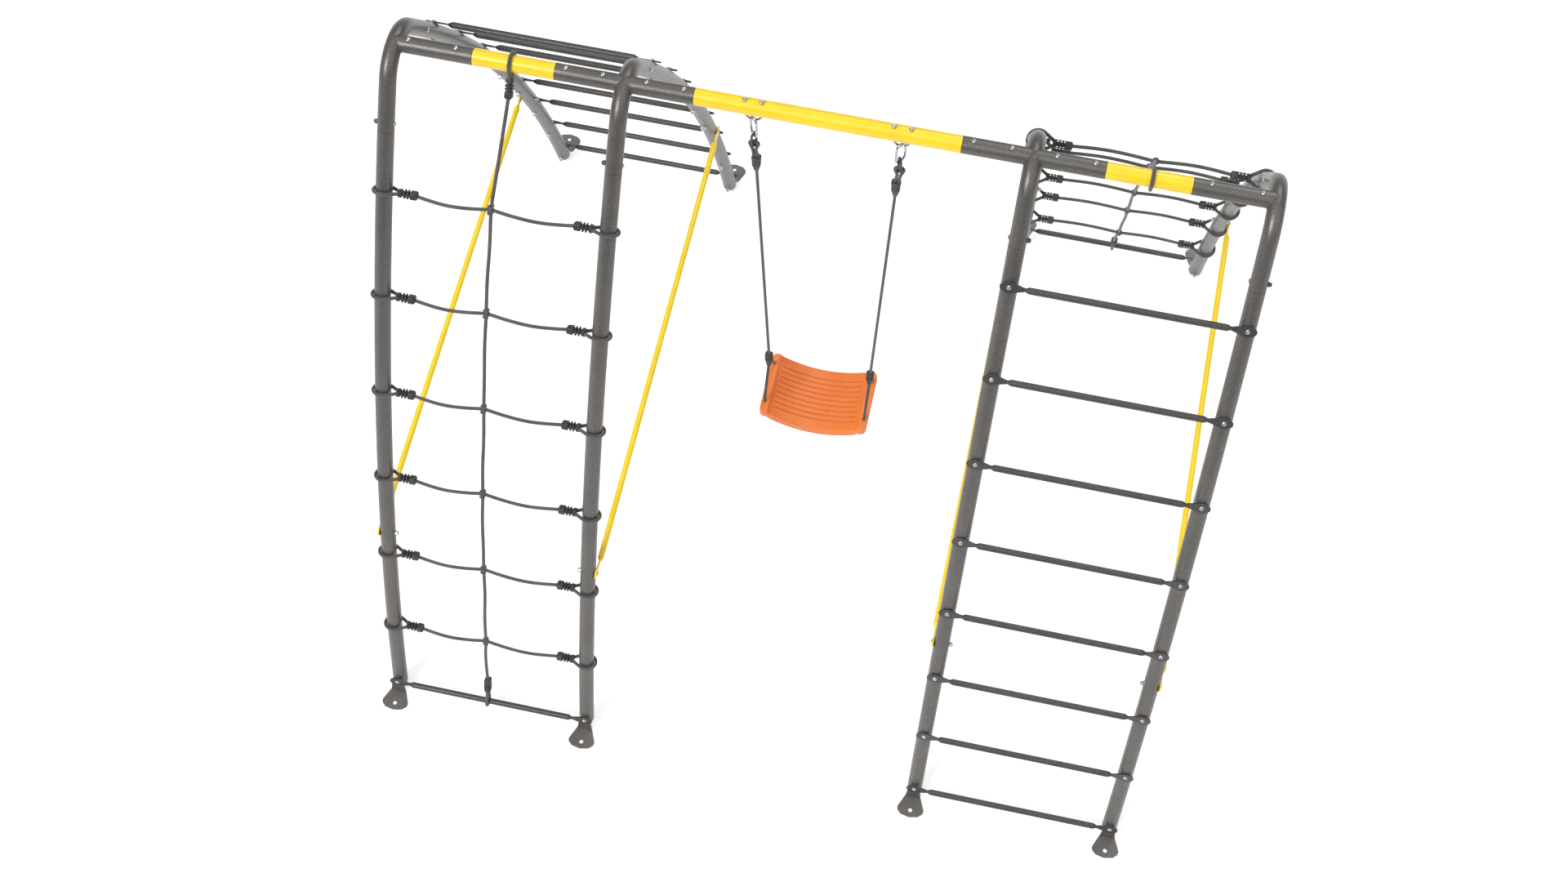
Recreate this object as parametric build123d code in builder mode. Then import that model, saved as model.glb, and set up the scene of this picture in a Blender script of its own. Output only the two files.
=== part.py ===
from build123d import *
import math
import os

# Dome climber: two towers of arched side frames joined by one beam, a rope net
# and a ladder on each tower, and a swing hung from the middle of the beam.
# Millimetres, +Z up, ground at Z = 0, X along the beam, -Y towards the front.

os.makedirs("parts", exist_ok=True)

# ---------------------------------------------------------------- dimensions
TUBE_R = 25.5            # all main tubes, outside radius
TUBE_RI = 23.5           # bore of the main tubes
NECK_R = 23.3            # swaged neck that slides into the next tube
NECK_RI = 21.3
APEX = 2255.2            # height of the beam axis and of the arch tops
ELBOW_R = 120.2          # bend radius at the top of each frame
ELBOW = math.radians(54.55)
LEG_R = 6975.0           # long curve of the legs
FRAME_X = (-1268.8, -587.8, 587.8, 1268.8)
FRAME_NAMES = ("outer_left", "inner_left", "inner_right", "outer_right")
SEAM = 140.0             # where a bent tube's seam lies round its section
S_JOINT = 267.0          # arc length from the apex to the leg joint
S_JOINT_BOLT = 245.0
S_RUNG0 = 385.3
RUNG_PITCH = 304.6
S_FOOT = S_RUNG0 + 7 * RUNG_PITCH
S_END = S_FOOT + 24.0
RUNG_S = [S_RUNG0 + RUNG_PITCH * i for i in range(8)]
BRACE_S = 1765.0
NET_S = (459.0, 811.0, 1165.0, 1511.5, 1855.0, 2219.5)

BAR_R = 10.3             # rungs, net bars and braces
BAR_RI = 8.8
FLAT_W = 38.0            # flat lugs at the bar ends
FLAT_T = 5.0
BOLT_R = 3.9
HOLE_R = 4.3
HEAD_R = 7.6
HEAD_H = 4.6
GAP = 0.1

STUB_OUTER = 235.0       # stub length from the frame's centre, end frames
STUB_INNER = 203.0
BEAM_BOLTS_OUTER = (43.5, 185.0)
BEAM_BOLTS_INNER = (63.6, 172.2)

TAB_T = 3.5              # foot plate
PLATE_T = 4.0
HOLE_Y = 1222.0          # ground anchor holes
ANCHOR_R = 7.0

ROPE_R = 5.75
LOOP_R = 31.7            # net loop round a main tube, to the rope's middle
FERRULE_A = 44.0         # ferrule, from the tube's axis
FERRULE_B = 104.0
SWING_X = 214.5
HOOK_HALF = 24.6         # half the spacing of the hanger bolt's legs
HOOK_BOW = APEX - 36.0   # start of the bow
SEAT_Z = 612.0
SEAT_L = 376.0
SEAT_W = 238.0
SEAT_DROP = 57.0         # middle of the pan below the end flanges
SEAT_HOLE = (175.0, 78.0)


# ---------------------------------------------------------------- geometry
def profile(s):
    """Distance from the middle plane, height and slope at arc length s."""
    if s <= ELBOW_R * ELBOW:
        a = s / ELBOW_R
        return ELBOW_R * math.sin(a), APEX - ELBOW_R * (1 - math.cos(a)), a
    a = ELBOW + (s - ELBOW_R * ELBOW) / LEG_R
    return (
        ELBOW_R * math.sin(ELBOW) + LEG_R * (math.sin(a) - math.sin(ELBOW)),
        APEX - ELBOW_R * (1 - math.cos(ELBOW)) - LEG_R * (math.cos(ELBOW) - math.cos(a)),
        a,
    )


# centre of the long curve, front side (rear side is its mirror image)
LEG_CY = -ELBOW_R * math.sin(ELBOW) + LEG_R * math.sin(ELBOW)
LEG_CZ = APEX - ELBOW_R * (1 - math.cos(ELBOW)) - LEG_R * math.cos(ELBOW)


def spot(x, s, n, side):
    """Point at arc length s, n outside the tube's middle; side 1 is the front."""
    y, z, a = profile(s)
    return Vector(x, -side * (y + n * math.sin(a)), z + n * math.cos(a))


def across(x, s, side):
    """Section plane whose normal runs down the leg, its seam kept off the holes."""
    y, z, a = profile(s)
    k = math.radians(SEAM)
    return Plane(
        origin=spot(x, s, 0, side),
        x_dir=(math.cos(k), -side * math.sin(a) * math.sin(k), math.cos(a) * math.sin(k)),
        z_dir=(0, -side * math.cos(a), -math.sin(a)),
    )


def outward(x, s, n, side):
    """Plane whose normal points out of the climbing face."""
    y, z, a = profile(s)
    return Plane(
        origin=spot(x, s, n, side),
        x_dir=(1, 0, 0),
        z_dir=(0, -side * math.sin(a), math.cos(a)),
    )


def leg_axis(x, side):
    return Axis((x, side * LEG_CY, LEG_CZ), (side, 0, 0))


def degrees_of(length):
    return math.degrees(length / LEG_R)


def write(part, name):
    part.label = name
    print(name, len(part.solids()), round(part.volume), part.is_valid)
    export_step(part, f"parts/{name}.step")


# bolts through the climbing face, by (frame, side): levels that carry a bar
BAR_LEVELS = {
    (0, 1): [S_FOOT], (1, 1): [S_FOOT], (2, 1): RUNG_S, (3, 1): RUNG_S,
    (0, -1): RUNG_S, (1, -1): RUNG_S, (2, -1): [S_FOOT], (3, -1): [S_FOOT],
}
BRACE_SIDE = (-1, 1, -1, 1)      # which X side of the frame carries the brace
JOINT_HEAD = (1, 1, -1, -1)      # joint bolt heads face the swing

# ---------------------------------------------------------------- top arches
for i, (x, name) in enumerate(zip(FRAME_X, FRAME_NAMES)):
    end = i in (0, 3)
    stub = STUB_OUTER if end else STUB_INNER
    dirs = {0: (1,), 1: (-1, 1), 2: (-1, 1), 3: (-1,)}[i]
    with BuildPart() as top_arch:
        for radius, mode in ((TUBE_R, Mode.ADD), (TUBE_RI, Mode.SUBTRACT)):
            if mode == Mode.ADD:
                for d in dirs:
                    with BuildSketch(Plane(origin=(x, 0, APEX), x_dir=(0, 1, 0), z_dir=(d, 0, 0))):
                        Circle(TUBE_R - 0.05)
                    extrude(amount=stub)
            with BuildSketch(across(x, ELBOW_R * ELBOW, -1)):
                Circle(radius)
            revolve(
                axis=Axis((x, 0, APEX - ELBOW_R), (1, 0, 0)),
                revolution_arc=2 * math.degrees(ELBOW),
                mode=mode,
            )
            for side in (1, -1):
                with BuildSketch(across(x, ELBOW_R * ELBOW, side)):
                    Circle(radius)
                revolve(
                    axis=leg_axis(x, side),
                    revolution_arc=degrees_of(S_JOINT - ELBOW_R * ELBOW),
                    mode=mode,
                )
        for d in dirs:
            with BuildSketch(Plane(origin=(x + d * 27.5, 0, APEX), x_dir=(0, 1, 0), z_dir=(d, 0, 0))):
                Circle(TUBE_RI)
            extrude(amount=stub, mode=Mode.SUBTRACT)
            for b in BEAM_BOLTS_OUTER if end else BEAM_BOLTS_INNER:
                with Locations((x + d * b, 0, APEX)):
                    Cylinder(HOLE_R, 80, mode=Mode.SUBTRACT)
        for side in (1, -1):
            with Locations(Plane(origin=spot(x, S_JOINT_BOLT, 0, side), z_dir=(1, 0, 0))):
                Cylinder(HOLE_R, 80, mode=Mode.SUBTRACT)
    write(top_arch.part, f"top_arch_{name}")

# ---------------------------------------------------------------- legs
for i, (x, name) in enumerate(zip(FRAME_X, FRAME_NAMES)):
    for side, word in ((1, "front"), (-1, "rear")):
        with BuildPart() as leg:
            with BuildSketch(across(x, S_JOINT + 0.4, side)):
                Circle(TUBE_R)
                Circle(TUBE_RI, mode=Mode.SUBTRACT)
            revolve(axis=leg_axis(x, side), revolution_arc=degrees_of(S_END - S_JOINT - 0.4))
            with BuildSketch(across(x, S_JOINT + 0.4, side)):
                Circle(TUBE_RI + 1)
                Circle(NECK_RI, mode=Mode.SUBTRACT)
            revolve(axis=leg_axis(x, side), revolution_arc=degrees_of(9.6))
            with BuildSketch(across(x, S_JOINT - 62, side)):
                Circle(NECK_R)
                Circle(NECK_RI, mode=Mode.SUBTRACT)
            revolve(axis=leg_axis(x, side), revolution_arc=degrees_of(70))
            with Locations(Plane(origin=spot(x, S_JOINT_BOLT, 0, side), z_dir=(1, 0, 0))):
                Cylinder(HOLE_R, 80, mode=Mode.SUBTRACT)
            with Locations(Plane(origin=spot(x, BRACE_S, 0, side), z_dir=(1, 0, 0))):
                Cylinder(HOLE_R, 80, mode=Mode.SUBTRACT)
            with Locations(*[outward(x, s, 0, side) for s in BAR_LEVELS[(i, side)]]):
                Cylinder(HOLE_R, 80, mode=Mode.SUBTRACT)
        write(leg.part, f"{word}_leg_{name}")

# ---------------------------------------------------------------- beam tubes
BEAMS = (
    ("beam_left", FRAME_X[0] + STUB_OUTER, FRAME_X[1] - STUB_INNER,
     STUB_OUTER - 29.0, STUB_INNER - 29.0),
    ("beam_middle", FRAME_X[1] + STUB_INNER, FRAME_X[2] - STUB_INNER,
     STUB_INNER - 29.0, STUB_INNER - 29.0),
    ("beam_right", FRAME_X[2] + STUB_INNER, FRAME_X[3] - STUB_OUTER,
     STUB_INNER - 29.0, STUB_OUTER - 29.0),
)
for name, xa, xb, neck_a, neck_b in BEAMS:
    with BuildPart() as beam:
        with BuildSketch(Plane(origin=(xa + 0.4, 0, APEX), x_dir=(0, 1, 0), z_dir=(1, 0, 0))):
            Circle(TUBE_R)
            Circle(NECK_RI, mode=Mode.SUBTRACT)
        extrude(amount=xb - xa - 0.8)
        with BuildSketch(Plane(origin=(xa - neck_a, 0, APEX), x_dir=(0, 1, 0), z_dir=(1, 0, 0))):
            Circle(NECK_R)
            Circle(NECK_RI, mode=Mode.SUBTRACT)
        extrude(amount=xb - xa + neck_a + neck_b)
        holes = []
        if name == "beam_left":
            holes = [FRAME_X[0] + b for b in BEAM_BOLTS_OUTER] + [FRAME_X[1] - b for b in BEAM_BOLTS_INNER]
        elif name == "beam_middle":
            holes = [FRAME_X[1] + b for b in BEAM_BOLTS_INNER] + [FRAME_X[2] - b for b in BEAM_BOLTS_INNER]
            holes += [c + h for c in (-SWING_X, SWING_X) for h in (-HOOK_HALF, HOOK_HALF)]
        else:
            holes = [FRAME_X[2] + b for b in BEAM_BOLTS_INNER] + [FRAME_X[3] - b for b in BEAM_BOLTS_OUTER]
        with Locations(*[(h, 0, APEX) for h in holes]):
            Cylinder(HOLE_R, 80, mode=Mode.SUBTRACT)
    write(beam.part, name)


# ---------------------------------------------------------------- flattened bars
def flat_bar(half):
    """Round bar along X with a flat drilled lug at each end, holes at +-half."""
    with BuildPart() as bar:
        with BuildSketch(Plane.YZ.offset(-(half - 58))):
            Circle(BAR_R)
        extrude(amount=2 * (half - 58))
        for d in (1, -1):
            with BuildSketch(Plane(origin=(d * (half - 58), 0, 0), x_dir=(0, 1, 0), z_dir=(d, 0, 0))):
                Circle(BAR_R)
            with BuildSketch(Plane(origin=(d * (half - 45), 0, 0), x_dir=(0, 1, 0), z_dir=(d, 0, 0))):
                Circle(4.5)
            loft()
            with BuildSketch(Plane.XY.offset(-FLAT_T / 2)):
                with Locations((d * half, 0)):
                    Circle(FLAT_W / 2)
                with BuildLine():
                    Polyline(
                        (d * (half - 10), FLAT_W / 2 * 0.85), (d * half, FLAT_W / 2 * 0.98),
                        (d * half, -FLAT_W / 2 * 0.98), (d * (half - 10), -FLAT_W / 2 * 0.85),
                        (d * (half - 46), -5.5), (d * (half - 62), -5.5),
                        (d * (half - 62), 5.5), (d * (half - 46), 5.5), close=True,
                    )
                make_face()
            extrude(amount=FLAT_T)
        with BuildSketch(Plane.YZ.offset(-(half - 70))):
            Circle(BAR_RI)
        extrude(amount=2 * (half - 70), mode=Mode.SUBTRACT)
        with Locations((half, 0, 0), (-half, 0, 0)):
            Cylinder(HOLE_R, 20, mode=Mode.SUBTRACT)
    return bar.part


BAR_N = TUBE_R + GAP + FLAT_T / 2
FOOT_BAR_N = TUBE_R + GAP + TAB_T + GAP + FLAT_T / 2
TOWERS = {"left": (FRAME_X[0] + FRAME_X[1]) / 2, "right": (FRAME_X[2] + FRAME_X[3]) / 2}
HALF = (FRAME_X[1] - FRAME_X[0]) / 2
rung = flat_bar(HALF)


def bar_n(s):
    return FOOT_BAR_N if s == S_FOOT else BAR_N


with BuildPart() as front_ladder_rungs:
    with Locations(*[outward(TOWERS["right"], s, bar_n(s), 1) for s in RUNG_S]):
        add(rung)
write(front_ladder_rungs.part, "front_ladder_rungs")

with BuildPart() as rear_ladder_rungs:
    with Locations(*[outward(TOWERS["left"], s, bar_n(s), -1) for s in RUNG_S]):
        add(rung)
write(rear_ladder_rungs.part, "rear_ladder_rungs")

with BuildPart() as net_bottom_bars:
    with Locations(
        outward(TOWERS["left"], S_FOOT, FOOT_BAR_N, 1),
        outward(TOWERS["right"], S_FOOT, FOOT_BAR_N, -1),
    ):
        add(rung)
write(net_bottom_bars.part, "net_bottom_bars")

brace_y, brace_z, _ = profile(BRACE_S)
brace = flat_bar(brace_y)
BRACE_OFF = TUBE_R + GAP + FLAT_T / 2
with BuildPart() as side_braces:
    with Locations(*[
        Plane(origin=(x + d * BRACE_OFF, 0, brace_z), x_dir=(0, 1, 0), z_dir=(1, 0, 0))
        for x, d in zip(FRAME_X, BRACE_SIDE)
    ]):
        add(brace)
write(side_braces.part, "side_braces")

# ---------------------------------------------------------------- feet
for side, word in ((1, "front"), (-1, "rear")):
    with BuildPart() as feet:
        for x in FRAME_X:
            y0, z0, a = profile(S_FOOT)
            tab = outward(x, S_FOOT, TUBE_R + GAP, side)
            down = z0 + (TUBE_R + GAP) * math.cos(a)
            reach = down / math.sin(a)            # along the tab to the ground
            sgn = -1 if side == 1 else 1          # local Y of the tab that points down
            with BuildSketch(tab):
                Circle(20)
                with BuildLine():
                    Polyline((-20, 0), (-26, sgn * reach), (26, sgn * reach), (20, 0), close=True)
                make_face()
                Circle(HOLE_R, mode=Mode.SUBTRACT)
            extrude(amount=TAB_T)
            bend = y0 + (TUBE_R + GAP) * math.sin(a) + reach * math.cos(a)
            with BuildSketch(Plane.XY):
                with BuildLine():
                    Polyline(
                        (x - 26, -side * (bend - 1)), (x - 46, -side * (HOLE_Y - 6)),
                        (x - 44, -side * (HOLE_Y + 6)), (x - 30, -side * (HOLE_Y + 19)),
                        (x, -side * (HOLE_Y + 25)),
                        (x + 30, -side * (HOLE_Y + 19)), (x + 44, -side * (HOLE_Y + 6)),
                        (x + 46, -side * (HOLE_Y - 6)), (x + 26, -side * (bend - 1)), close=True,
                    )
                make_face()
                with Locations((x, -side * HOLE_Y)):
                    Circle(ANCHOR_R, mode=Mode.SUBTRACT)
            extrude(amount=PLATE_T)
        # nothing reaches below the ground
        with Locations((0, 0, -50)):
            Box(4000, 4000, 100, mode=Mode.SUBTRACT)
    write(feet.part, f"{word}_feet")


# ---------------------------------------------------------------- fasteners
def screw(grip):
    """Dome head above Z = 0, shank below it, hexagon socket in the head."""
    with BuildPart() as bolt:
        with BuildSketch(Plane.XZ):
            with BuildLine():
                l1 = Line((0, HEAD_H), (2.2, HEAD_H))
                l2 = ThreePointArc(l1 @ 1, (HEAD_R - 1.6, HEAD_H - 1.5), (HEAD_R, 0.6))
                Polyline(l2 @ 1, (HEAD_R, 0), (BOLT_R, 0), (BOLT_R, -grip + 0.6),
                         (BOLT_R - 0.6, -grip), (0, -grip), l1 @ 0)
            make_face()
        revolve(axis=Axis.Z)
        with BuildSketch(Plane.XY.offset(HEAD_H - 2.6)):
            RegularPolygon(2.5, 6)
        extrude(amount=5, mode=Mode.SUBTRACT)
    return bolt.part


def cap_nut():
    """Hexagon nut with a rounded cap, seat at Z = 0, body below it."""
    with BuildPart() as nut:
        with BuildSketch(Plane.XY):
            RegularPolygon(7.4, 6)
        extrude(amount=-6.5)
        with BuildSketch(Plane.XY.offset(-6.5)):
            Circle(5.8)
        extrude(amount=-4.4)
        chamfer(nut.faces().sort_by(Axis.Z)[0].edges(), 1.8)
        with BuildSketch(Plane.XY):
            Circle(BOLT_R + 0.05)
        extrude(amount=-8.8, mode=Mode.SUBTRACT)
    return nut.part


def washer():
    """Washer between the tube and the nut, its outer face at Z = 0."""
    with BuildPart() as ring:
        with BuildSketch(Plane.XY):
            Circle(8.4)
            Circle(HOLE_R, mode=Mode.SUBTRACT)
        extrude(amount=-1.6)
    return ring.part


WASH = TUBE_R + GAP              # washer seat below the tube's middle
NUT = WASH + 1.6 + 0.05
nut_solid = cap_nut()
washer_solid = washer()
bar_screw = screw(BAR_N + FLAT_T / 2 + 0.05 + NUT + 7.5)
foot_screw = screw(FOOT_BAR_N + FLAT_T / 2 + 0.05 + NUT + 7.5)
tube_screw = screw(2 * TUBE_R + 2 * GAP + 7.5)

heads, foot_heads, seats = [], [], []
for (i, side), levels in BAR_LEVELS.items():
    for s in levels:
        n = bar_n(s) + FLAT_T / 2 + 0.05
        (foot_heads if s == S_FOOT else heads).append(outward(FRAME_X[i], s, n, side))
        seats.append(outward(FRAME_X[i], s, -WASH, side))

with BuildPart() as rung_bolts:
    with Locations(*heads):
        add(bar_screw)
write(rung_bolts.part, "rung_bolts")

with BuildPart() as foot_bolts:
    with Locations(*foot_heads):
        add(foot_screw)
write(foot_bolts.part, "foot_bolts")

with BuildPart() as rung_washers:
    with Locations(*seats):
        add(washer_solid)
write(rung_washers.part, "rung_washers")

with BuildPart() as rung_nuts:
    with Locations(*[p.offset(-1.65) for p in seats]):
        add(nut_solid)
write(rung_nuts.part, "rung_nuts")

joint_heads, joint_nuts_at = [], []
for i, x in enumerate(FRAME_X):
    for side in (1, -1):
        d = JOINT_HEAD[i]
        p = spot(x, S_JOINT_BOLT, 0, side)
        joint_heads.append(Plane(origin=p + Vector(d * (TUBE_R + GAP), 0, 0), z_dir=(d, 0, 0)))
        joint_nuts_at.append(Plane(origin=p - Vector(d * (TUBE_R + GAP), 0, 0), z_dir=(d, 0, 0)))

with BuildPart() as joint_bolts:
    with Locations(*joint_heads):
        add(tube_screw)
write(joint_bolts.part, "joint_bolts")

with BuildPart() as joint_nuts:
    with Locations(*joint_nuts_at):
        add(nut_solid)
write(joint_nuts.part, "joint_nuts")

BEAM_BOLT_X = (
    [FRAME_X[0] + b for b in BEAM_BOLTS_OUTER]
    + [FRAME_X[1] + d * b for d in (-1, 1) for b in BEAM_BOLTS_INNER]
    + [FRAME_X[2] + d * b for d in (-1, 1) for b in BEAM_BOLTS_INNER]
    + [FRAME_X[3] - b for b in BEAM_BOLTS_OUTER]
)
with BuildPart() as beam_bolts:
    with Locations(*[(bx, 0, APEX + TUBE_R + GAP) for bx in BEAM_BOLT_X]):
        add(tube_screw)
write(beam_bolts.part, "beam_bolts")

with BuildPart() as beam_nuts:
    with Locations(*[(bx, 0, APEX - TUBE_R - GAP) for bx in BEAM_BOLT_X]):
        add(nut_solid)
write(beam_nuts.part, "beam_nuts")

brace_screw = screw(2 * TUBE_R + FLAT_T + 0.35 + 7.5)
brace_heads, brace_seats = [], []
for x, d in zip(FRAME_X, BRACE_SIDE):
    for side in (1, -1):
        p = spot(x, BRACE_S, 0, side)
        brace_heads.append(Plane(origin=p + Vector(d * (BRACE_OFF + FLAT_T / 2 + 0.05), 0, 0), z_dir=(d, 0, 0)))
        brace_seats.append(Plane(origin=p - Vector(d * (TUBE_R + GAP), 0, 0), z_dir=(d, 0, 0)))

with BuildPart() as brace_bolts:
    with Locations(*brace_heads):
        add(brace_screw)
write(brace_bolts.part, "brace_bolts")

with BuildPart() as brace_nuts:
    with Locations(*brace_seats):
        add(nut_solid)
write(brace_nuts.part, "brace_nuts")


# ---------------------------------------------------------------- rope net
def round_path(points, radii=None):
    """Polyline with an arc at every corner, as large as its runs allow."""
    rs = []
    for k in range(1, len(points) - 1):
        a, b = points[k] - points[k - 1], points[k + 1] - points[k]
        turn = math.radians(a.get_angle(b))
        rs.append(0.45 * min(a.length, b.length) / math.tan(turn / 2))
    if radii:
        rs = [r if r else q for r, q in zip(radii, rs)]
    print("   rope radii", [round(r) for r in rs])
    return FilletPolyline(*points, radius=rs)


def rope_points(side):
    """Corner points of the horizontal ropes: one list per level and half."""
    centre = TOWERS["left"] if side == 1 else TOWERS["right"]
    knot_x = centre + KNOT_DX[side]
    out = []
    for s in NET_S:
        for d in (-1, 1):
            xa = centre + d * (HALF - FERRULE_B + 12)
            xb = knot_x + d * 4
            pts = []
            for t, w in ((0, 0), (0.22, 0.62), (0.48, 1.0), (0.76, 0.64), (1, 0)):
                pts.append(spot(xa + (xb - xa) * t, s + 10 * w, 8.5 * w, side))
            out.append(pts)
    return out


KNOT_DX = {1: -15.0, -1: 13.0}
BEAM_LOOP_DX = {1: 7.0, -1: -7.0}
BAR_LOOP_DX = {1: -9.0, -1: 9.0}


def tube_along(points):
    start = Plane(origin=points[0], z_dir=points[1] - points[0])
    with BuildLine(mode=Mode.PRIVATE) as path:
        round_path(points)
    with BuildSketch(start, mode=Mode.PRIVATE) as section:
        Circle(ROPE_R)
    sweep(sections=section.sketch, path=path.line)


def teardrop(plane, ring, reach, spread=6.3):
    """Closed-up loop of rope in a plane: round the origin, both ends at X = reach."""
    far = math.hypot(reach, spread)
    start = math.degrees(math.acos(ring / far)) + math.degrees(math.atan2(spread, reach))
    with BuildLine(plane, mode=Mode.PRIVATE) as path:
        arc = CenterArc((0, 0), ring, start, 360 - 2 * start)
        Line((reach, spread), arc @ 0)
        Line(arc @ 1, (reach, -spread))
    p0 = plane.from_local_coords(Vector(reach, spread, 0))
    p1 = plane.from_local_coords(
        Vector(ring * math.cos(math.radians(start)), ring * math.sin(math.radians(start)), 0)
    )
    with BuildSketch(Plane(origin=p0, z_dir=p1 - p0), mode=Mode.PRIVATE) as section:
        Circle(ROPE_R)
    sweep(sections=section.sketch, path=path.line)


def ferrule_solid():
    """Crimped sleeve along X from 0 to its length, ribs at the loop's end."""
    length = FERRULE_B - FERRULE_A
    with BuildPart() as sleeve:
        with BuildSketch(Plane.YZ):
            RectangleRounded(24.5, 15.5, 5)
        extrude(amount=length)
        with BuildSketch(Plane.YZ.offset(length - 21)):
            RectangleRounded(27, 23, 4)
        extrude(amount=21)
        for k in range(3):
            with BuildSketch(Plane.YZ.offset(2 + k * 12.3)):
                RectangleRounded(28, 24, 5)
            extrude(amount=6.0)
    return sleeve.part


sleeve = ferrule_solid()


def loop_plane(x, s, side, d):
    """Plane across the leg; local X points along the rope, d is its X direction."""
    y, z, a = profile(s)
    return Plane(origin=spot(x, s, 0, side), x_dir=(d, 0, 0), z_dir=(0, -side * math.cos(a), -math.sin(a)))


def knot_solid():
    """Wrapped hitch where two ropes cross: a short waisted barrel along Y."""
    with BuildPart() as knot:
        with BuildSketch(Plane.XY):
            with BuildLine():
                Spline((0, -20), (8.6, -12), (9.2, 0), (8.6, 12), (0, 20))
                Line((0, 20), (0, -20))
            make_face()
        revolve(axis=Axis.Y)
    return knot.part


knot_shape = knot_solid()

for side, word in ((1, "front"), (-1, "rear")):
    frames = (0, 1) if side == 1 else (2, 3)
    centre = TOWERS["left"] if side == 1 else TOWERS["right"]
    knot_x = centre + KNOT_DX[side]
    loops_at = [loop_plane(FRAME_X[f], s, side, d) for s in NET_S for f, d in zip(frames, (1, -1))]

    with BuildPart() as net_ropes:
        for pts in rope_points(side):
            tube_along(pts)
    write(net_ropes.part, f"{word}_net_ropes")

    with BuildPart() as net_loops:
        for plane in loops_at:
            teardrop(plane, LOOP_R, FERRULE_A + 5)
    write(net_loops.part, f"{word}_net_loops")

    with BuildPart() as net_ferrules:
        # width of the sleeve lies in the loop's plane
        with Locations(*[
            Plane(origin=p.origin + p.x_dir * FERRULE_A, x_dir=p.x_dir, z_dir=p.z_dir) for p in loops_at
        ]):
            add(sleeve)
    write(net_ferrules.part, f"{word}_net_ferrules")

    with BuildPart() as net_knots:
        with Locations(*[outward(knot_x, s, 0, side) for s in NET_S]):
            add(knot_shape)
    write(net_knots.part, f"{word}_net_knots")

    # upright rope: loop and sleeve at the beam, loop and sleeve at the bottom bar
    beam_at = Vector(centre + BEAM_LOOP_DX[side], 0, APEX)
    first = spot(knot_x, NET_S[0], 0, side)
    bar_at = spot(centre + BAR_LOOP_DX[side], S_FOOT, FOOT_BAR_N, side)
    last = spot(knot_x, NET_S[-1], 0, side)
    d_top = (first - beam_at)
    d_top = Vector(0, d_top.Y, d_top.Z).normalized()
    d_bot = (last - bar_at)
    d_bot = Vector(0, d_bot.Y, d_bot.Z).normalized()
    top_plane = Plane(origin=beam_at, x_dir=d_top, z_dir=(1, 0, 0))
    bot_plane = Plane(origin=bar_at, x_dir=d_bot, z_dir=(1, 0, 0))
    BAR_RING = BAR_R + ROPE_R + 0.5
    BAR_REACH = 54.0

    with BuildPart() as net_end_loops:
        teardrop(top_plane, LOOP_R, FERRULE_A + 5)
        teardrop(bot_plane, BAR_RING, BAR_REACH + 5)
    write(net_end_loops.part, f"{word}_net_end_loops")

    with BuildPart() as net_end_ferrules:
        with Locations(
            Plane(origin=beam_at + d_top * FERRULE_A, x_dir=d_top, z_dir=(1, 0, 0)),
            Plane(origin=bar_at + d_bot * BAR_REACH, x_dir=d_bot, z_dir=(1, 0, 0)),
        ):
            add(sleeve)
    write(net_end_ferrules.part, f"{word}_net_end_ferrules")

    with BuildPart() as net_upright:
        sleeve_len = FERRULE_B - FERRULE_A
        start = beam_at + d_top * (FERRULE_B - 10)
        mid = start + (first - start) * 0.5 + Vector(2.0 * side, -side * 5, 3)
        third = start + (first - start) * 0.82 + Vector(1.0 * side, -side * 3, 2)
        tube_along([start, mid, third, first])
        for k, (sa, sb) in enumerate(zip(NET_S[:-1], NET_S[1:])):
            bow = (3.0, -2.0, 2.5, -2.5, 3.5)[k]
            tube_along([
                spot(knot_x, sa, 0, side),
                spot(knot_x + bow, sa + (sb - sa) * 0.34, 1, side),
                spot(knot_x - bow * 0.4, sa + (sb - sa) * 0.67, 2, side),
                spot(knot_x, sb, 0, side),
            ])
        stop = bar_at + d_bot * (BAR_REACH + sleeve_len - 10)
        q = last + (stop - last) * 0.45 + Vector(-6, 0, 0)
        tube_along([last, q, stop])
    write(net_upright.part, f"{word}_net_upright")


# ---------------------------------------------------------------- swing hangers
def hang_x(z):
    """The swing ropes lean inwards: distance from the middle at height z."""
    return SWING_X - (BOW_Z - z) * (SWING_X - SEAT_HOLE[0]) / (BOW_Z - 748.0)


BOW_Z = HOOK_BOW - HOOK_HALF             # middle of the rod at the bottom of the bow
LINK_R = 3.9
LINK_HALF = 17.0
LINK_TOP = BOW_Z + 9.2
LINK_LONG = 86.6                         # between the middles of its end bows
LINK_LOW = LINK_TOP - LINK_LONG
EYE_R = 3.5
EYE_HALF = 11.0
EYE_TOP = LINK_LOW + 9.0
EYE_LONG = 54.6
EYE_LOW = EYE_TOP - EYE_LONG
LINK_YAW = 50.0
EYE_YAW = 65.0
LINE_R = 5.0                             # swing rope
THIMBLE_Z = EYE_LOW + 0.4
THIMBLE_RING = 13.3
BLOCK_L = 70.0
UPPER_BLOCK = 2008.0                     # top of the upper block
LOWER_BLOCK = 818.0


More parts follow.
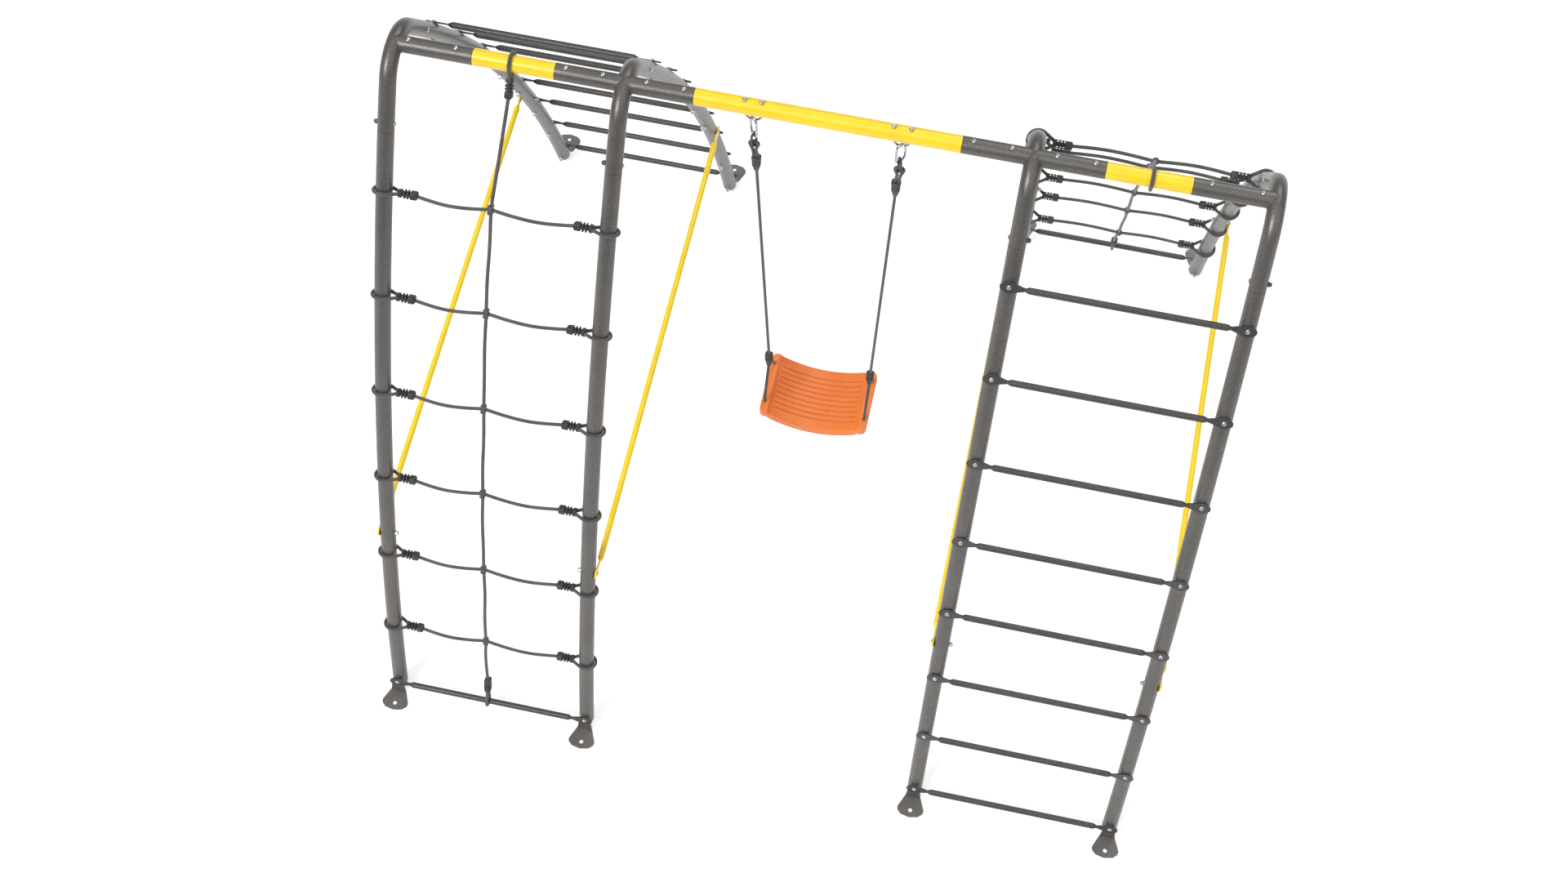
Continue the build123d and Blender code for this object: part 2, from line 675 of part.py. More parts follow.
def oval(x, top, long, half, rod, yaw):
    """Closed oval ring of round rod, standing in an upright plane turned by yaw."""
    k = math.radians(yaw)
    plane = Plane(origin=(x, 0, top), x_dir=(math.cos(k), math.sin(k), 0),
                  z_dir=(math.sin(k), -math.cos(k), 0))
    with BuildLine(plane, mode=Mode.PRIVATE) as path:
        CenterArc((0, -half), half, 0, 180)
        Line((-half, -half), (-half, half - long))
        CenterArc((0, half - long), half, 180, 180)
        Line((half, half - long), (half, -half))
    start = plane.from_local_coords(Vector(half, -half - (long - 2 * half) / 2, 0))
    with BuildSketch(Plane(origin=plane.from_local_coords(Vector(half, -half, 0)), z_dir=(0, 0, 1)),
                     mode=Mode.PRIVATE) as section:
        Circle(rod)
    sweep(sections=section.sketch, path=path.line)


with BuildPart() as hanger_bolts:
    for c in (-SWING_X, SWING_X):
        plane = Plane(origin=(c, 0, 0), x_dir=(1, 0, 0), z_dir=(0, -1, 0))
        top = APEX + TUBE_R + GAP + 8.0
        with BuildLine(plane, mode=Mode.PRIVATE) as path:
            Line((-HOOK_HALF, top), (-HOOK_HALF, HOOK_BOW))
            CenterArc((0, HOOK_BOW), HOOK_HALF, 180, 180)
            Line((HOOK_HALF, HOOK_BOW), (HOOK_HALF, top))
        with BuildSketch(Plane(origin=(c - HOOK_HALF, 0, top), z_dir=(0, 0, -1)), mode=Mode.PRIVATE) as section:
            Circle(BOLT_R)
        sweep(sections=section.sketch, path=path.line)
write(hanger_bolts.part, "hanger_bolts")

HOOK_LEGS = [c + h for c in (-SWING_X, SWING_X) for h in (-HOOK_HALF, HOOK_HALF)]
with BuildPart() as hanger_nuts:
    with Locations(*[Plane(origin=(h, 0, APEX + TUBE_R + GAP), z_dir=(0, 0, -1)) for h in HOOK_LEGS]):
        add(nut_solid)
write(hanger_nuts.part, "hanger_nuts")

with BuildPart() as hanger_lock_nuts:
    for h in HOOK_LEGS:
        with BuildSketch(Plane.XY.offset(APEX - TUBE_R - GAP)):
            with Locations((h, 0)):
                RegularPolygon(7.4, 6)
                Circle(BOLT_R + 0.05, mode=Mode.SUBTRACT)
        extrude(amount=-5.0)
write(hanger_lock_nuts.part, "hanger_lock_nuts")

with BuildPart() as hanger_links:
    for d in (-1, 1):
        oval(d * SWING_X, LINK_TOP, LINK_LONG, LINK_HALF, LINK_R, d * LINK_YAW)
write(hanger_links.part, "hanger_links")

with BuildPart() as swing_eyes:
    for d in (-1, 1):
        oval(d * SWING_X, EYE_TOP, EYE_LONG, EYE_HALF, EYE_R, 90 + d * (90 - EYE_YAW))
write(swing_eyes.part, "swing_eyes")

# ---------------------------------------------------------------- swing ropes
SPREAD = 5.4
with BuildPart() as swing_thimbles:
    for d in (-1, 1):
        with BuildSketch(Plane.XZ.offset(-4.5)):
            with Locations((d * SWING_X, THIMBLE_Z)):
                Circle(8.0)
                Circle(7.0, mode=Mode.SUBTRACT)
        extrude(amount=9.0)
write(swing_thimbles.part, "swing_thimbles")


def rope_drop(ring, reach, spread):
    """Point-down rope loop hung in the XZ plane, local X down."""
    far = math.hypot(reach, spread)
    return math.degrees(math.acos(ring / far)) + math.degrees(math.atan2(spread, reach))


with BuildPart() as swing_rope_loops:
    for d in (-1, 1):
        plane = Plane(origin=(d * SWING_X, 0, THIMBLE_Z), x_dir=(0, 0, -1), z_dir=(0, -1, 0))
        reach = THIMBLE_Z - UPPER_BLOCK + 8.0
        start = rope_drop(THIMBLE_RING, reach, SPREAD)
        with BuildLine(plane, mode=Mode.PRIVATE) as path:
            arc = CenterArc((0, 0), THIMBLE_RING, start, 360 - 2 * start)
            Line((reach, SPREAD), arc @ 0)
            Line(arc @ 1, (reach, -SPREAD))
        p0 = plane.from_local_coords(Vector(reach, SPREAD, 0))
        a = math.radians(start)
        p1 = plane.from_local_coords(Vector(THIMBLE_RING * math.cos(a), THIMBLE_RING * math.sin(a), 0))
        with BuildSketch(Plane(origin=p0, z_dir=p1 - p0), mode=Mode.PRIVATE) as section:
            Circle(LINE_R)
        sweep(sections=section.sketch, path=path.line)
write(swing_rope_loops.part, "swing_rope_loops")


def block_solid():
    """Rope adjuster block, top at Z = 0: square collar, tapering to the bottom."""
    with BuildPart() as block:
        with BuildSketch(Plane.XY):
            RectangleRounded(28, 22, 6)
        with BuildSketch(Plane.XY.offset(-BLOCK_L * 0.62)):
            RectangleRounded(27, 21, 6)
        loft()
        with BuildSketch(Plane.XY.offset(-BLOCK_L * 0.62)):
            RectangleRounded(27, 21, 6)
        with BuildSketch(Plane.XY.offset(-BLOCK_L)):
            RectangleRounded(15, 14, 5)
        loft()
    return block.part


block = block_solid()
with BuildPart() as swing_upper_blocks:
    with Locations(*[(d * hang_x(UPPER_BLOCK - 35), 0, UPPER_BLOCK) for d in (-1, 1)]):
        add(block)
write(swing_upper_blocks.part, "swing_upper_blocks")


def lower_block_solid():
    """The same block the other way round: the two strands leave its wide end."""
    with BuildPart() as low:
        with BuildSketch(Plane.XY):
            RectangleRounded(27, 24, 6)
        with BuildSketch(Plane.XY.offset(-BLOCK_L * 0.5)):
            RectangleRounded(27, 25, 6)
        loft()
        with BuildSketch(Plane.XY.offset(-BLOCK_L * 0.5)):
            RectangleRounded(27, 25, 6)
        with BuildSketch(Plane.XY.offset(-BLOCK_L)):
            RectangleRounded(14, 25, 5)
        loft()
    return low.part


low_block = lower_block_solid()
with BuildPart() as swing_lower_blocks:
    with Locations(*[(d * hang_x(LOWER_BLOCK - 35), 0, LOWER_BLOCK) for d in (-1, 1)]):
        add(low_block)
write(swing_lower_blocks.part, "swing_lower_blocks")

with BuildPart() as swing_ropes:
    for d in (-1, 1):
        za, zb = UPPER_BLOCK - BLOCK_L + 10, LOWER_BLOCK - 10
        xa, xb = hang_x(UPPER_BLOCK - 35), hang_x(LOWER_BLOCK - 35)
        with BuildLine(mode=Mode.PRIVATE) as path:
            Line((d * xa, 0, za), (d * xb, 0, zb))
        with BuildSketch(Plane(origin=(d * xa, 0, za), z_dir=(d * (xb - xa), 0, zb - za)),
                         mode=Mode.PRIVATE) as section:
            Circle(LINE_R)
        sweep(sections=section.sketch, path=path.line)
write(swing_ropes.part, "swing_ropes")

STRAND_LOW = SEAT_Z - 13.0
with BuildPart() as swing_strands:
    for d in (-1, 1):
        for side in (1, -1):
            xb = hang_x(LOWER_BLOCK - 35)
            pts = [
                Vector(d * xb, side * 6.0, LOWER_BLOCK - BLOCK_L + 12),
                Vector(d * xb, side * 9.0, LOWER_BLOCK - BLOCK_L - 6),
                Vector(d * (xb + 0.2), side * 72.0, SEAT_Z + 30),
                Vector(d * SEAT_HOLE[0], side * SEAT_HOLE[1], STRAND_LOW),
            ]
            print("   strand", end="")
            with BuildLine(mode=Mode.PRIVATE) as path:
                round_path(pts)
            with BuildSketch(Plane(origin=pts[0], z_dir=pts[1] - pts[0]), mode=Mode.PRIVATE) as section:
                Circle(LINE_R)
            sweep(sections=section.sketch, path=path.line)
write(swing_strands.part, "swing_strands")

with BuildPart() as swing_knots:
    with Locations(*[(d * SEAT_HOLE[0], side * SEAT_HOLE[1], STRAND_LOW - 6)
                     for d in (-1, 1) for side in (1, -1)]):
        Sphere(7.6)
write(swing_knots.part, "swing_knots")

# ---------------------------------------------------------------- seat
SEAT_T = 5.0
SKIRT = 30.0
FLANGE = 30.0
HALF_L = SEAT_L / 2


def seat_line(drop, inset):
    """Side line of the seat, its ends inset and its height lowered by drop."""
    z = SEAT_Z - drop
    a = HALF_L - inset
    f = HALF_L - FLANGE
    l1 = Line((-a, z), (-f, z))
    l2 = Line(l1 @ 1, (-f + 7, z - 9))
    l3 = ThreePointArc(l2 @ 1, (0, z - SEAT_DROP), (f - 7, z - 9))
    l4 = Line(l3 @ 1, (f, z))
    Line(l4 @ 1, (a, z))


with BuildPart() as swing_seat:
    with BuildSketch(Plane.XZ):
        with BuildLine():
            seat_line(0, 0)
            Line((HALF_L, SEAT_Z), (HALF_L, SEAT_Z - SKIRT))
            seat_line(SKIRT, 0)
            Line((-HALF_L, SEAT_Z - SKIRT), (-HALF_L, SEAT_Z))
        make_face()
    extrude(amount=SEAT_W / 2, both=True)
    corners = swing_seat.edges().filter_by(Axis.Z).group_by(SortBy.LENGTH)[-1]
    fillet(corners, radius=20)
    with BuildSketch(Plane.XZ):
        with BuildLine():
            seat_line(SEAT_T, SEAT_T)
            Line((HALF_L - SEAT_T, SEAT_Z - SEAT_T), (HALF_L - SEAT_T, SEAT_Z - SKIRT - 6))
            seat_line(SKIRT + 6, SEAT_T)
            Line((SEAT_T - HALF_L, SEAT_Z - SKIRT - 6), (SEAT_T - HALF_L, SEAT_Z - SEAT_T))
        make_face()
    extrude(amount=SEAT_W / 2 - SEAT_T, both=True, mode=Mode.SUBTRACT)
    with Locations(*[(d * SEAT_HOLE[0], side * SEAT_HOLE[1], SEAT_Z) for d in (-1, 1) for side in (1, -1)]):
        Cylinder(7.0, 30, mode=Mode.SUBTRACT)
write(swing_seat.part, "swing_seat")
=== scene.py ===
import bpy
import math
import numpy as np
from mathutils import Matrix, Vector


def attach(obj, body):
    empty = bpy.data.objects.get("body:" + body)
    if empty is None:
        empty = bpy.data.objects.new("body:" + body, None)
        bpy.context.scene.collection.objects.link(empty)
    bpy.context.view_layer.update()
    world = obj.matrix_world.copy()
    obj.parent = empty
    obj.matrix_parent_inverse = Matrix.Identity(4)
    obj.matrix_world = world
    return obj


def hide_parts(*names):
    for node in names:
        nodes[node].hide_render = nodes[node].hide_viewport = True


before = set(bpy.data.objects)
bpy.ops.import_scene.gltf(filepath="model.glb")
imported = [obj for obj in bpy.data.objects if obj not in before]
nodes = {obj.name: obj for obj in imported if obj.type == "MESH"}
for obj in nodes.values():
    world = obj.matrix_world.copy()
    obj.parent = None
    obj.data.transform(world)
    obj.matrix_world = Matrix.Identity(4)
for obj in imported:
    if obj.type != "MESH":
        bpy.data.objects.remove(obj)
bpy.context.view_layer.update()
scene = bpy.context.scene
MM = 0.001

# ------------------------------------------------------------ dimensions, mm
APEX = 2255.2
TUBE_R = 25.5
ELBOW_R = 120.2
ELBOW = math.radians(54.55)
LEG_R = 6975.0
FRAME_X = (-1268.8, -587.8, 587.8, 1268.8)
HALF = 340.5
STUB_OUTER = 235.0
STUB_INNER = 203.0
S_JOINT = 267.0
S_FOOT = 385.3 + 7 * 304.6
NET_S = (459.0, 811.0, 1165.0, 1511.5, 1855.0, 2219.5)
ROPE_R = 5.75
LOOP_R = 31.7
FERRULE_A = 44.0
FERRULE_B = 104.0
BAR_R = 10.3
FOOT_BAR_N = TUBE_R + 0.1 + 3.5 + 0.1 + 2.5
CENTRE = {1: (FRAME_X[0] + FRAME_X[1]) / 2, -1: (FRAME_X[2] + FRAME_X[3]) / 2}
KNOT_DX = {1: -15.0, -1: 13.0}
BEAM_LOOP_DX = {1: 7.0, -1: -7.0}
BAR_LOOP_DX = {1: -9.0, -1: 9.0}
WORD = {1: "front", -1: "rear"}
SWING_X = 214.5
BOW_Z = APEX - 36.0 - 24.6
LINE_R = 5.0
THIMBLE_Z = BOW_Z - 77.4 - 45.6 + 0.4
THIMBLE_RING = 13.3
BLOCK_L = 70.0
UPPER_BLOCK = 2008.0
LOWER_BLOCK = 818.0
SEAT_Z = 612.0
SEAT_L = 376.0
SEAT_W = 238.0
SEAT_DROP = 57.0
SEAT_HOLE = (175.0, 78.0)


def profile(s):
    if s <= ELBOW_R * ELBOW:
        a = s / ELBOW_R
        return ELBOW_R * math.sin(a), APEX - ELBOW_R * (1 - math.cos(a)), a
    a = ELBOW + (s - ELBOW_R * ELBOW) / LEG_R
    return (
        ELBOW_R * math.sin(ELBOW) + LEG_R * (math.sin(a) - math.sin(ELBOW)),
        APEX - ELBOW_R * (1 - math.cos(ELBOW)) - LEG_R * (math.cos(ELBOW) - math.cos(a)),
        a,
    )


def spot(x, s, n, side):
    y, z, a = profile(s)
    return np.array([x, -side * (y + n * math.sin(a)), z + n * math.cos(a)])


def hang_x(z):
    return SWING_X - (BOW_Z - z) * (SWING_X - SEAT_HOLE[0]) / (BOW_Z - 748.0)


def unit(v):
    v = np.asarray(v, float)
    return v / np.linalg.norm(v)


# ------------------------------------------------------------ camera
def set_camera():
    yaw, pitch, roll = -0.2091, 1.1100, 0.0036
    f = np.array([math.sin(yaw) * math.cos(pitch), math.cos(yaw) * math.cos(pitch), -math.sin(pitch)])
    r0 = unit(np.cross(f, (0, 0, 1)))
    u0 = np.cross(r0, f)
    r = math.cos(roll) * r0 + math.sin(roll) * u0
    u = -math.sin(roll) * r0 + math.cos(roll) * u0
    cam = bpy.data.cameras.new("camera")
    cam.sensor_width = 36.0
    cam.lens = 2706.9 * 36.0 / 1920.0
    cam.clip_start, cam.clip_end = 0.05, 100
    ob = bpy.data.objects.new("camera", cam)
    m = Matrix.Identity(4)
    for k, v in enumerate((r, u, -f)):
        for j in range(3):
            m[j][k] = v[j]
    m.translation = Vector((0.62548, -3.52556, 7.4306))
    ob.matrix_world = m
    scene.collection.objects.link(ob)
    scene.camera = ob


set_camera()


# ------------------------------------------------------------ materials
class Nodes:
    """Small helper to write a node tree in a few lines."""

    def __init__(self, name):
        self.mat = bpy.data.materials.new(name)
        self.mat.use_nodes = True
        self.t = self.mat.node_tree
        self.bsdf = next(n for n in self.t.nodes if n.type == "BSDF_PRINCIPLED")
        self.co = self.t.nodes.new("ShaderNodeTexCoord").outputs["Object"]

    def set(self, **values):
        for k, v in values.items():
            self.bsdf.inputs[k.replace("_", " ")].default_value = v

    def stretched(self, scale):
        n = self.t.nodes.new("ShaderNodeMapping")
        n.inputs["Scale"].default_value = scale
        self.t.links.new(self.co, n.inputs["Vector"])
        return n.outputs["Vector"]

    def noise(self, scale, detail=3.0, rough=0.55, co=None):
        n = self.t.nodes.new("ShaderNodeTexNoise")
        n.inputs["Scale"].default_value = scale
        n.inputs["Detail"].default_value = detail
        n.inputs["Roughness"].default_value = rough
        self.t.links.new(co or self.co, n.inputs["Vector"])
        return n.outputs["Fac"]

    def cells(self, scale, smooth=0.6):
        n = self.t.nodes.new("ShaderNodeTexVoronoi")
        n.feature = "SMOOTH_F1"
        n.inputs["Scale"].default_value = scale
        n.inputs["Smoothness"].default_value = smooth
        self.t.links.new(self.co, n.inputs["Vector"])
        return n.outputs["Distance"]

    def ramp(self, fac, stops):
        n = self.t.nodes.new("ShaderNodeValToRGB")
        e = n.color_ramp.elements
        while len(e) < len(stops):
            e.new(0.5)
        for el, (pos, col) in zip(e, stops):
            el.position = pos
            el.color = (*col, 1) if len(col) == 3 else col
        self.t.links.new(fac, n.inputs["Fac"])
        return n.outputs["Color"]

    def mix(self, kind, fac, a, b):
        n = self.t.nodes.new("ShaderNodeMix")
        n.data_type = "RGBA"
        n.blend_type = kind
        n.clamp_factor = True
        for sock, v in ((n.inputs["Factor"], fac), (n.inputs[6], a), (n.inputs[7], b)):
            if hasattr(v, "is_linked"):
                self.t.links.new(v, sock)
            elif isinstance(v, (int, float)):
                sock.default_value = v
            else:
                sock.default_value = (*v, 1)
        return n.outputs[2]

    def to_range(self, fac, lo, hi, a=0.3, b=0.7):
        n = self.t.nodes.new("ShaderNodeMapRange")
        for k, v in (("From Min", a), ("From Max", b), ("To Min", lo), ("To Max", hi)):
            n.inputs[k].default_value = v
        self.t.links.new(fac, n.inputs["Value"])
        return n.outputs["Result"]

    def link(self, out, socket):
        self.t.links.new(out, self.bsdf.inputs[socket])

    def bump(self, *layers):
        """Each layer is (height, strength, distance in metres)."""
        last = None
        for height, strength, distance in layers:
            n = self.t.nodes.new("ShaderNodeBump")
            n.inputs["Strength"].default_value = strength
            n.inputs["Distance"].default_value = distance
            self.t.links.new(height, n.inputs["Height"])
            if last is not None:
                self.t.links.new(last, n.inputs["Normal"])
            last = n.outputs["Normal"]
        self.t.links.new(last, self.bsdf.inputs["Normal"])


def gray_paint(name, dark, mid, light):
    m = Nodes(name)
    mottle = m.noise(300, 4, 0.62)
    col = m.ramp(mottle, [(0.30, dark), (0.50, mid), (0.72, light)])
    patch = m.ramp(m.noise(9, 2), [(0.35, (0.88, 0.88, 0.88)), (0.65, (1, 1, 1))])
    dust = m.ramp(m.noise(38, 6, 0.7), [(0.60, (0, 0, 0)), (0.80, (0.16, 0.16, 0.16))])
    col = m.mix("MULTIPLY", 1.0, col, patch)
    col = m.mix("ADD", 0.25, col, dust)
    m.link(col, "Base Color")
    m.link(m.to_range(m.noise(240, 3), 0.30, 0.46), "Roughness")
    m.set(Metallic=0.45, Coat_Weight=0.12, Coat_Roughness=0.40)
    m.bump((m.cells(260), 0.35, 0.0006), (m.noise(520, 2), 0.18, 0.0003))
    return m.mat


GRAY = gray_paint("gray_hammered_paint", (0.082, 0.076, 0.072), (0.118, 0.110, 0.103), (0.172, 0.162, 0.153))
# a darker copy of the same frame paint for rungs, lugs and bottom bars: painted shade
GRAY_RUNG_SHADED = gray_paint("gray_rung_painted_shade", (0.048, 0.045, 0.043), (0.072, 0.068, 0.064), (0.112, 0.106, 0.100))
GRAY_FOOT = gray_paint("gray_foot_paint", (0.098, 0.092, 0.086), (0.140, 0.131, 0.124), (0.20, 0.19, 0.18))


def yellow_paint():
    m = Nodes("yellow_powder_coat")
    col = m.ramp(m.noise(14, 4), [(0.3, (0.80, 0.55, 0.008)), (0.55, (0.84, 0.60, 0.010)), (0.8, (0.88, 0.64, 0.016))])
    specks = m.ramp(m.noise(620, 2, 0.5), [(0.70, (1, 1, 1)), (0.78, (0.90, 0.86, 0.80))])
    m.link(m.mix("MULTIPLY", 1.0, col, specks), "Base Color")
    m.link(m.to_range(m.noise(60, 4), 0.26, 0.42), "Roughness")
    m.set(Coat_Weight=0.3, Coat_Roughness=0.18)
    m.bump((m.noise(430, 2), 0.10, 0.0003),)
    return m.mat


YELLOW = yellow_paint()


def metal(name, dark, light, lo, hi, scale=120):
    m = Nodes(name)
    n = m.noise(scale, 5, 0.6)
    m.link(m.ramp(n, [(0.3, dark), (0.7, light)]), "Base Color")
    m.link(m.to_range(m.noise(scale * 3, 3), lo, hi), "Roughness")
    m.set(Metallic=1.0)
    m.bump((m.noise(900, 2), 0.08, 0.0002),)
    return m.mat


ZINC = metal("bright_zinc", (0.38, 0.38, 0.40), (0.62, 0.62, 0.64), 0.20, 0.34)
CHROME = metal("plated_steel", (0.36, 0.37, 0.39), (0.58, 0.59, 0.61), 0.14, 0.28)


def black_plastic():
    m = Nodes("black_moulded_plastic")
    m.link(m.ramp(m.noise(70, 4), [(0.3, (0.018, 0.018, 0.019)), (0.7, (0.040, 0.039, 0.040))]), "Base Color")
    m.link(m.to_range(m.noise(200, 3), 0.36, 0.56), "Roughness")
    m.bump((m.noise(1400, 3), 0.20, 0.0002), (m.cells(800), 0.10, 0.0002))
    return m.mat


BLACK = black_plastic()


def rope_material(name, dark, light):
    m = Nodes(name)
    base = m.ramp(m.noise(420, 5, 0.7), [(0.30, dark), (0.72, light)])
    worn = m.ramp(m.noise(16, 3), [(0.35, (0.80, 0.80, 0.80)), (0.7, (1.12, 1.11, 1.10))])
    m.link(m.mix("MULTIPLY", 1.0, base, worn), "Base Color")
    m.link(m.to_range(m.noise(500, 2), 0.68, 0.88), "Roughness")
    m.set(Sheen_Weight=0.25, Sheen_Roughness=0.5)
    m.bump((m.noise(1500, 3, 0.6), 0.55, 0.0006), (m.cells(900), 0.25, 0.0005))
    return m.mat


ROPE = rope_material("net_rope_fibre", (0.046, 0.045, 0.044), (0.115, 0.112, 0.109))
LINE = rope_material("swing_rope_fibre", (0.030, 0.029, 0.029), (0.088, 0.085, 0.083))


def seat_plastic():
    m = Nodes("orange_moulded_plastic")
    col = m.ramp(m.noise(11, 4), [(0.3, (0.70, 0.165, 0.026)), (0.7, (0.77, 0.195, 0.036))])
    m.link(col, "Base Color")
    m.link(m.to_range(m.noise(90, 4), 0.36, 0.50), "Roughness")
    m.set(Subsurface_Weight=0.06, Subsurface_Scale=0.01)
    m.bump((m.noise(1100, 3), 0.16, 0.0002),)
    return m.mat


SEAT = seat_plastic()


# darker orange of the same seat plastic for the groove bottoms: painted shade in the grooves
def groove_shade_plastic():
    m = Nodes("orange_plastic_painted_groove_shade")
    m.link(m.ramp(m.noise(40, 4), [(0.3, (0.54, 0.118, 0.020)), (0.7, (0.62, 0.140, 0.026))]), "Base Color")
    m.link(m.to_range(m.noise(90, 3), 0.5, 0.7), "Roughness")
    return m.mat


GROOVE_SHADE = groove_shade_plastic()


def seam_material():
    m = Nodes("joint_shadow")
    m.link(m.ramp(m.noise(300, 3), [(0.3, (0.010, 0.010, 0.010)), (0.7, (0.028, 0.027, 0.026))]), "Base Color")
    m.link(m.to_range(m.noise(200, 2), 0.6, 0.8), "Roughness")
    return m.mat


SEAM = seam_material()


def dress(ob, mat):
    ob.data.materials.clear()
    ob.data.materials.append(mat)


# ------------------------------------------------------------ mesh helpers
def piece(name, verts, faces, mat, body, slot=None, stands_for=(), smooth=True, angle=None):
    """A mesh object from points in mm, dressed, riding on a body."""
    me = bpy.data.meshes.new(name)
    me.from_pydata([tuple(float(c) * MM for c in v) for v in verts], [], [tuple(f) for f in faces])
    me.validate()
    me.polygons.foreach_set("use_smooth", [smooth] * len(me.polygons))
    me.materials.append(mat)
    me.update()
    if angle is not None:
        me.set_sharp_from_angle(angle=math.radians(angle))
    ob = bpy.data.objects.new(name, me)
    scene.collection.objects.link(ob)
    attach(ob, body)
    if stands_for:
        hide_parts(*stands_for)
    return ob


class Soup:
    """Collects several closed shells into one mesh."""

    def __init__(self):
        self.v, self.f = [], []

    def rings(self, rings, cap=True, loop=False):
        """Skin over rings of points; all rings have the same count."""
        base, n, m = len(self.v), len(rings[0]), len(rings)
        for r in rings:
            self.v.extend(r)
        for i in range(m if loop else m - 1):
            a, b = base + i * n, base + ((i + 1) % m) * n
            for k in range(n):
                q = (k + 1) % n
                self.f.append((a + k, a + q, b + q, b + k))
        if cap and not loop:
            self.f.append(tuple(base + k for k in range(n))[::-1])
            self.f.append(tuple(base + (m - 1) * n + k for k in range(n)))

    def make(self, *a, **k):
        return piece(a[0], self.v, self.f, *a[1:], **k)


def frames_along(pts, loop=False):
    """Parallel-transport frames of a line of points."""
    pts = np.asarray(pts, float)
    n = len(pts)
    if loop:
        t = np.roll(pts, -1, 0) - np.roll(pts, 1, 0)
    else:
        t = np.gradient(pts, axis=0)
    t /= np.linalg.norm(t, axis=1)[:, None]
    u = np.cross(t[0], (0, 0, 1))
    if np.linalg.norm(u) < 0.2:
        u = np.cross(t[0], (1, 0, 0))
    u = unit(u)
    us = [u]
    for i in range(1, n):
        u = u - t[i] * np.dot(u, t[i])
        u = unit(u)
        us.append(u)
    us = np.array(us)
    return pts, t, us, np.cross(t, us)


def rope_rings(pts, radius, strands=4, pitch=36.0, around=16, depth=0.11, taper=0):
    """Rings of a laid rope: lobes that turn once in each pitch."""
    pts, t, u, w = frames_along(pts)
    along = np.concatenate([[0], np.cumsum(np.linalg.norm(np.diff(pts, axis=0), axis=1))])
    out = []
    for p, a, e, s in zip(pts, u, w, along):
        ring = []
        for k in range(around):
            q = 2 * math.pi * k / around
            lobe = abs(math.cos(strands / 2 * (q - 2 * math.pi * s / pitch))) ** 0.75
            r = radius * (1 - depth + depth * lobe)
            ring.append(p + r * (math.cos(q) * a + math.sin(q) * e))
        out.append(ring)
    return out


def nurbs_points(corners, resolution):
    """Points of the open curve that has these corner points, read from Blender."""
    cu = bpy.data.curves.new("line", "CURVE")
    cu.dimensions = "3D"
    sp = cu.splines.new("NURBS")
    sp.points.add(len(corners) - 1)
    for p, c in zip(sp.points, corners):
        p.co = (float(c[0]) * MM, float(c[1]) * MM, float(c[2]) * MM, 1)
    sp.order_u = 3
    sp.use_endpoint_u = True
    sp.resolution_u = resolution
    cu.resolution_u = resolution
    ob = bpy.data.objects.new("line", cu)
    me = bpy.data.meshes.new_from_object(ob)
    pts = np.array([v.co[:] for v in me.vertices], float) / MM
    bpy.data.meshes.remove(me)
    bpy.data.objects.remove(ob)
    bpy.data.curves.remove(cu)
    keep = [0]
    for i in range(1, len(pts)):
        if np.linalg.norm(pts[i] - pts[keep[-1]]) > 0.2:
            keep.append(i)
    return pts[keep]


def laid_rope(name, corners, radius, mat, body, stands_for, strands=4, pitch=36.0):
    """A rope from corner points: its mesh, which hides the parts it stands for."""
    corners = [np.asarray(c, float) for c in corners]
    longest = max(np.linalg.norm(b - a) for a, b in zip(corners, corners[1:]))
    pts = nurbs_points(corners, max(8, math.ceil(longest / 3.2)))
    soup = Soup()
    soup.rings(rope_rings(pts, radius, strands, pitch))
    ob = soup.make(name, mat, body, slot="rope", stands_for=stands_for)
    return ob


def teardrop_points(origin, xd, zd, ring, reach, spread):
    """Line of a loop in a plane: round the origin, both ends at X = reach."""
    xd, zd = unit(xd), unit(zd)
    yd = np.cross(zd, xd)
    far = math.hypot(reach, spread)
    start = math.acos(ring / far) + math.atan2(spread, reach)
    a0 = np.array([ring * math.cos(start), ring * math.sin(start)])
    line = [np.array([reach, spread]) + (a0 - np.array([reach, spread])) * t for t in np.linspace(0, 1, 14, endpoint=False)]
    line += [ring * np.array([math.cos(a), math.sin(a)]) for a in np.linspace(start, 2 * math.pi - start, 64)]
    a1 = np.array([a0[0], -a0[1]])
    line += [a1 + (np.array([reach, -spread]) - a1) * t for t in np.linspace(1 / 14, 1, 14)]
    return np.array([origin + xd * p[0] + yd * p[1] for p in line])


def rounded(w, h, r, n=5):
    """Points of a rounded rectangle, w by h."""
    r = min(r, w / 2 - 0.01, h / 2 - 0.01)
    pts = []
    for cx, cy, a0 in ((w / 2 - r, h / 2 - r, 0), (r - w / 2, h / 2 - r, 90), (r - w / 2, r - h / 2, 180), (w / 2 - r, r - h / 2, 270)):
        for k in range(n + 1):
            a = math.radians(a0 + 90 * k / n)
            pts.append((cx + r * math.cos(a), cy + r * math.sin(a)))
    return pts


def sleeve_into(soup, origin, xd, zd, stations):
    """Lofted body along xd; stations are (x, width in plane, thickness, corner radius)."""
    xd, zd = unit(xd), unit(zd)
    yd = np.cross(zd, xd)
    soup.rings([[origin + xd * x + yd * a + zd * b for a, b in rounded(w, h, r)] for x, w, h, r in stations])


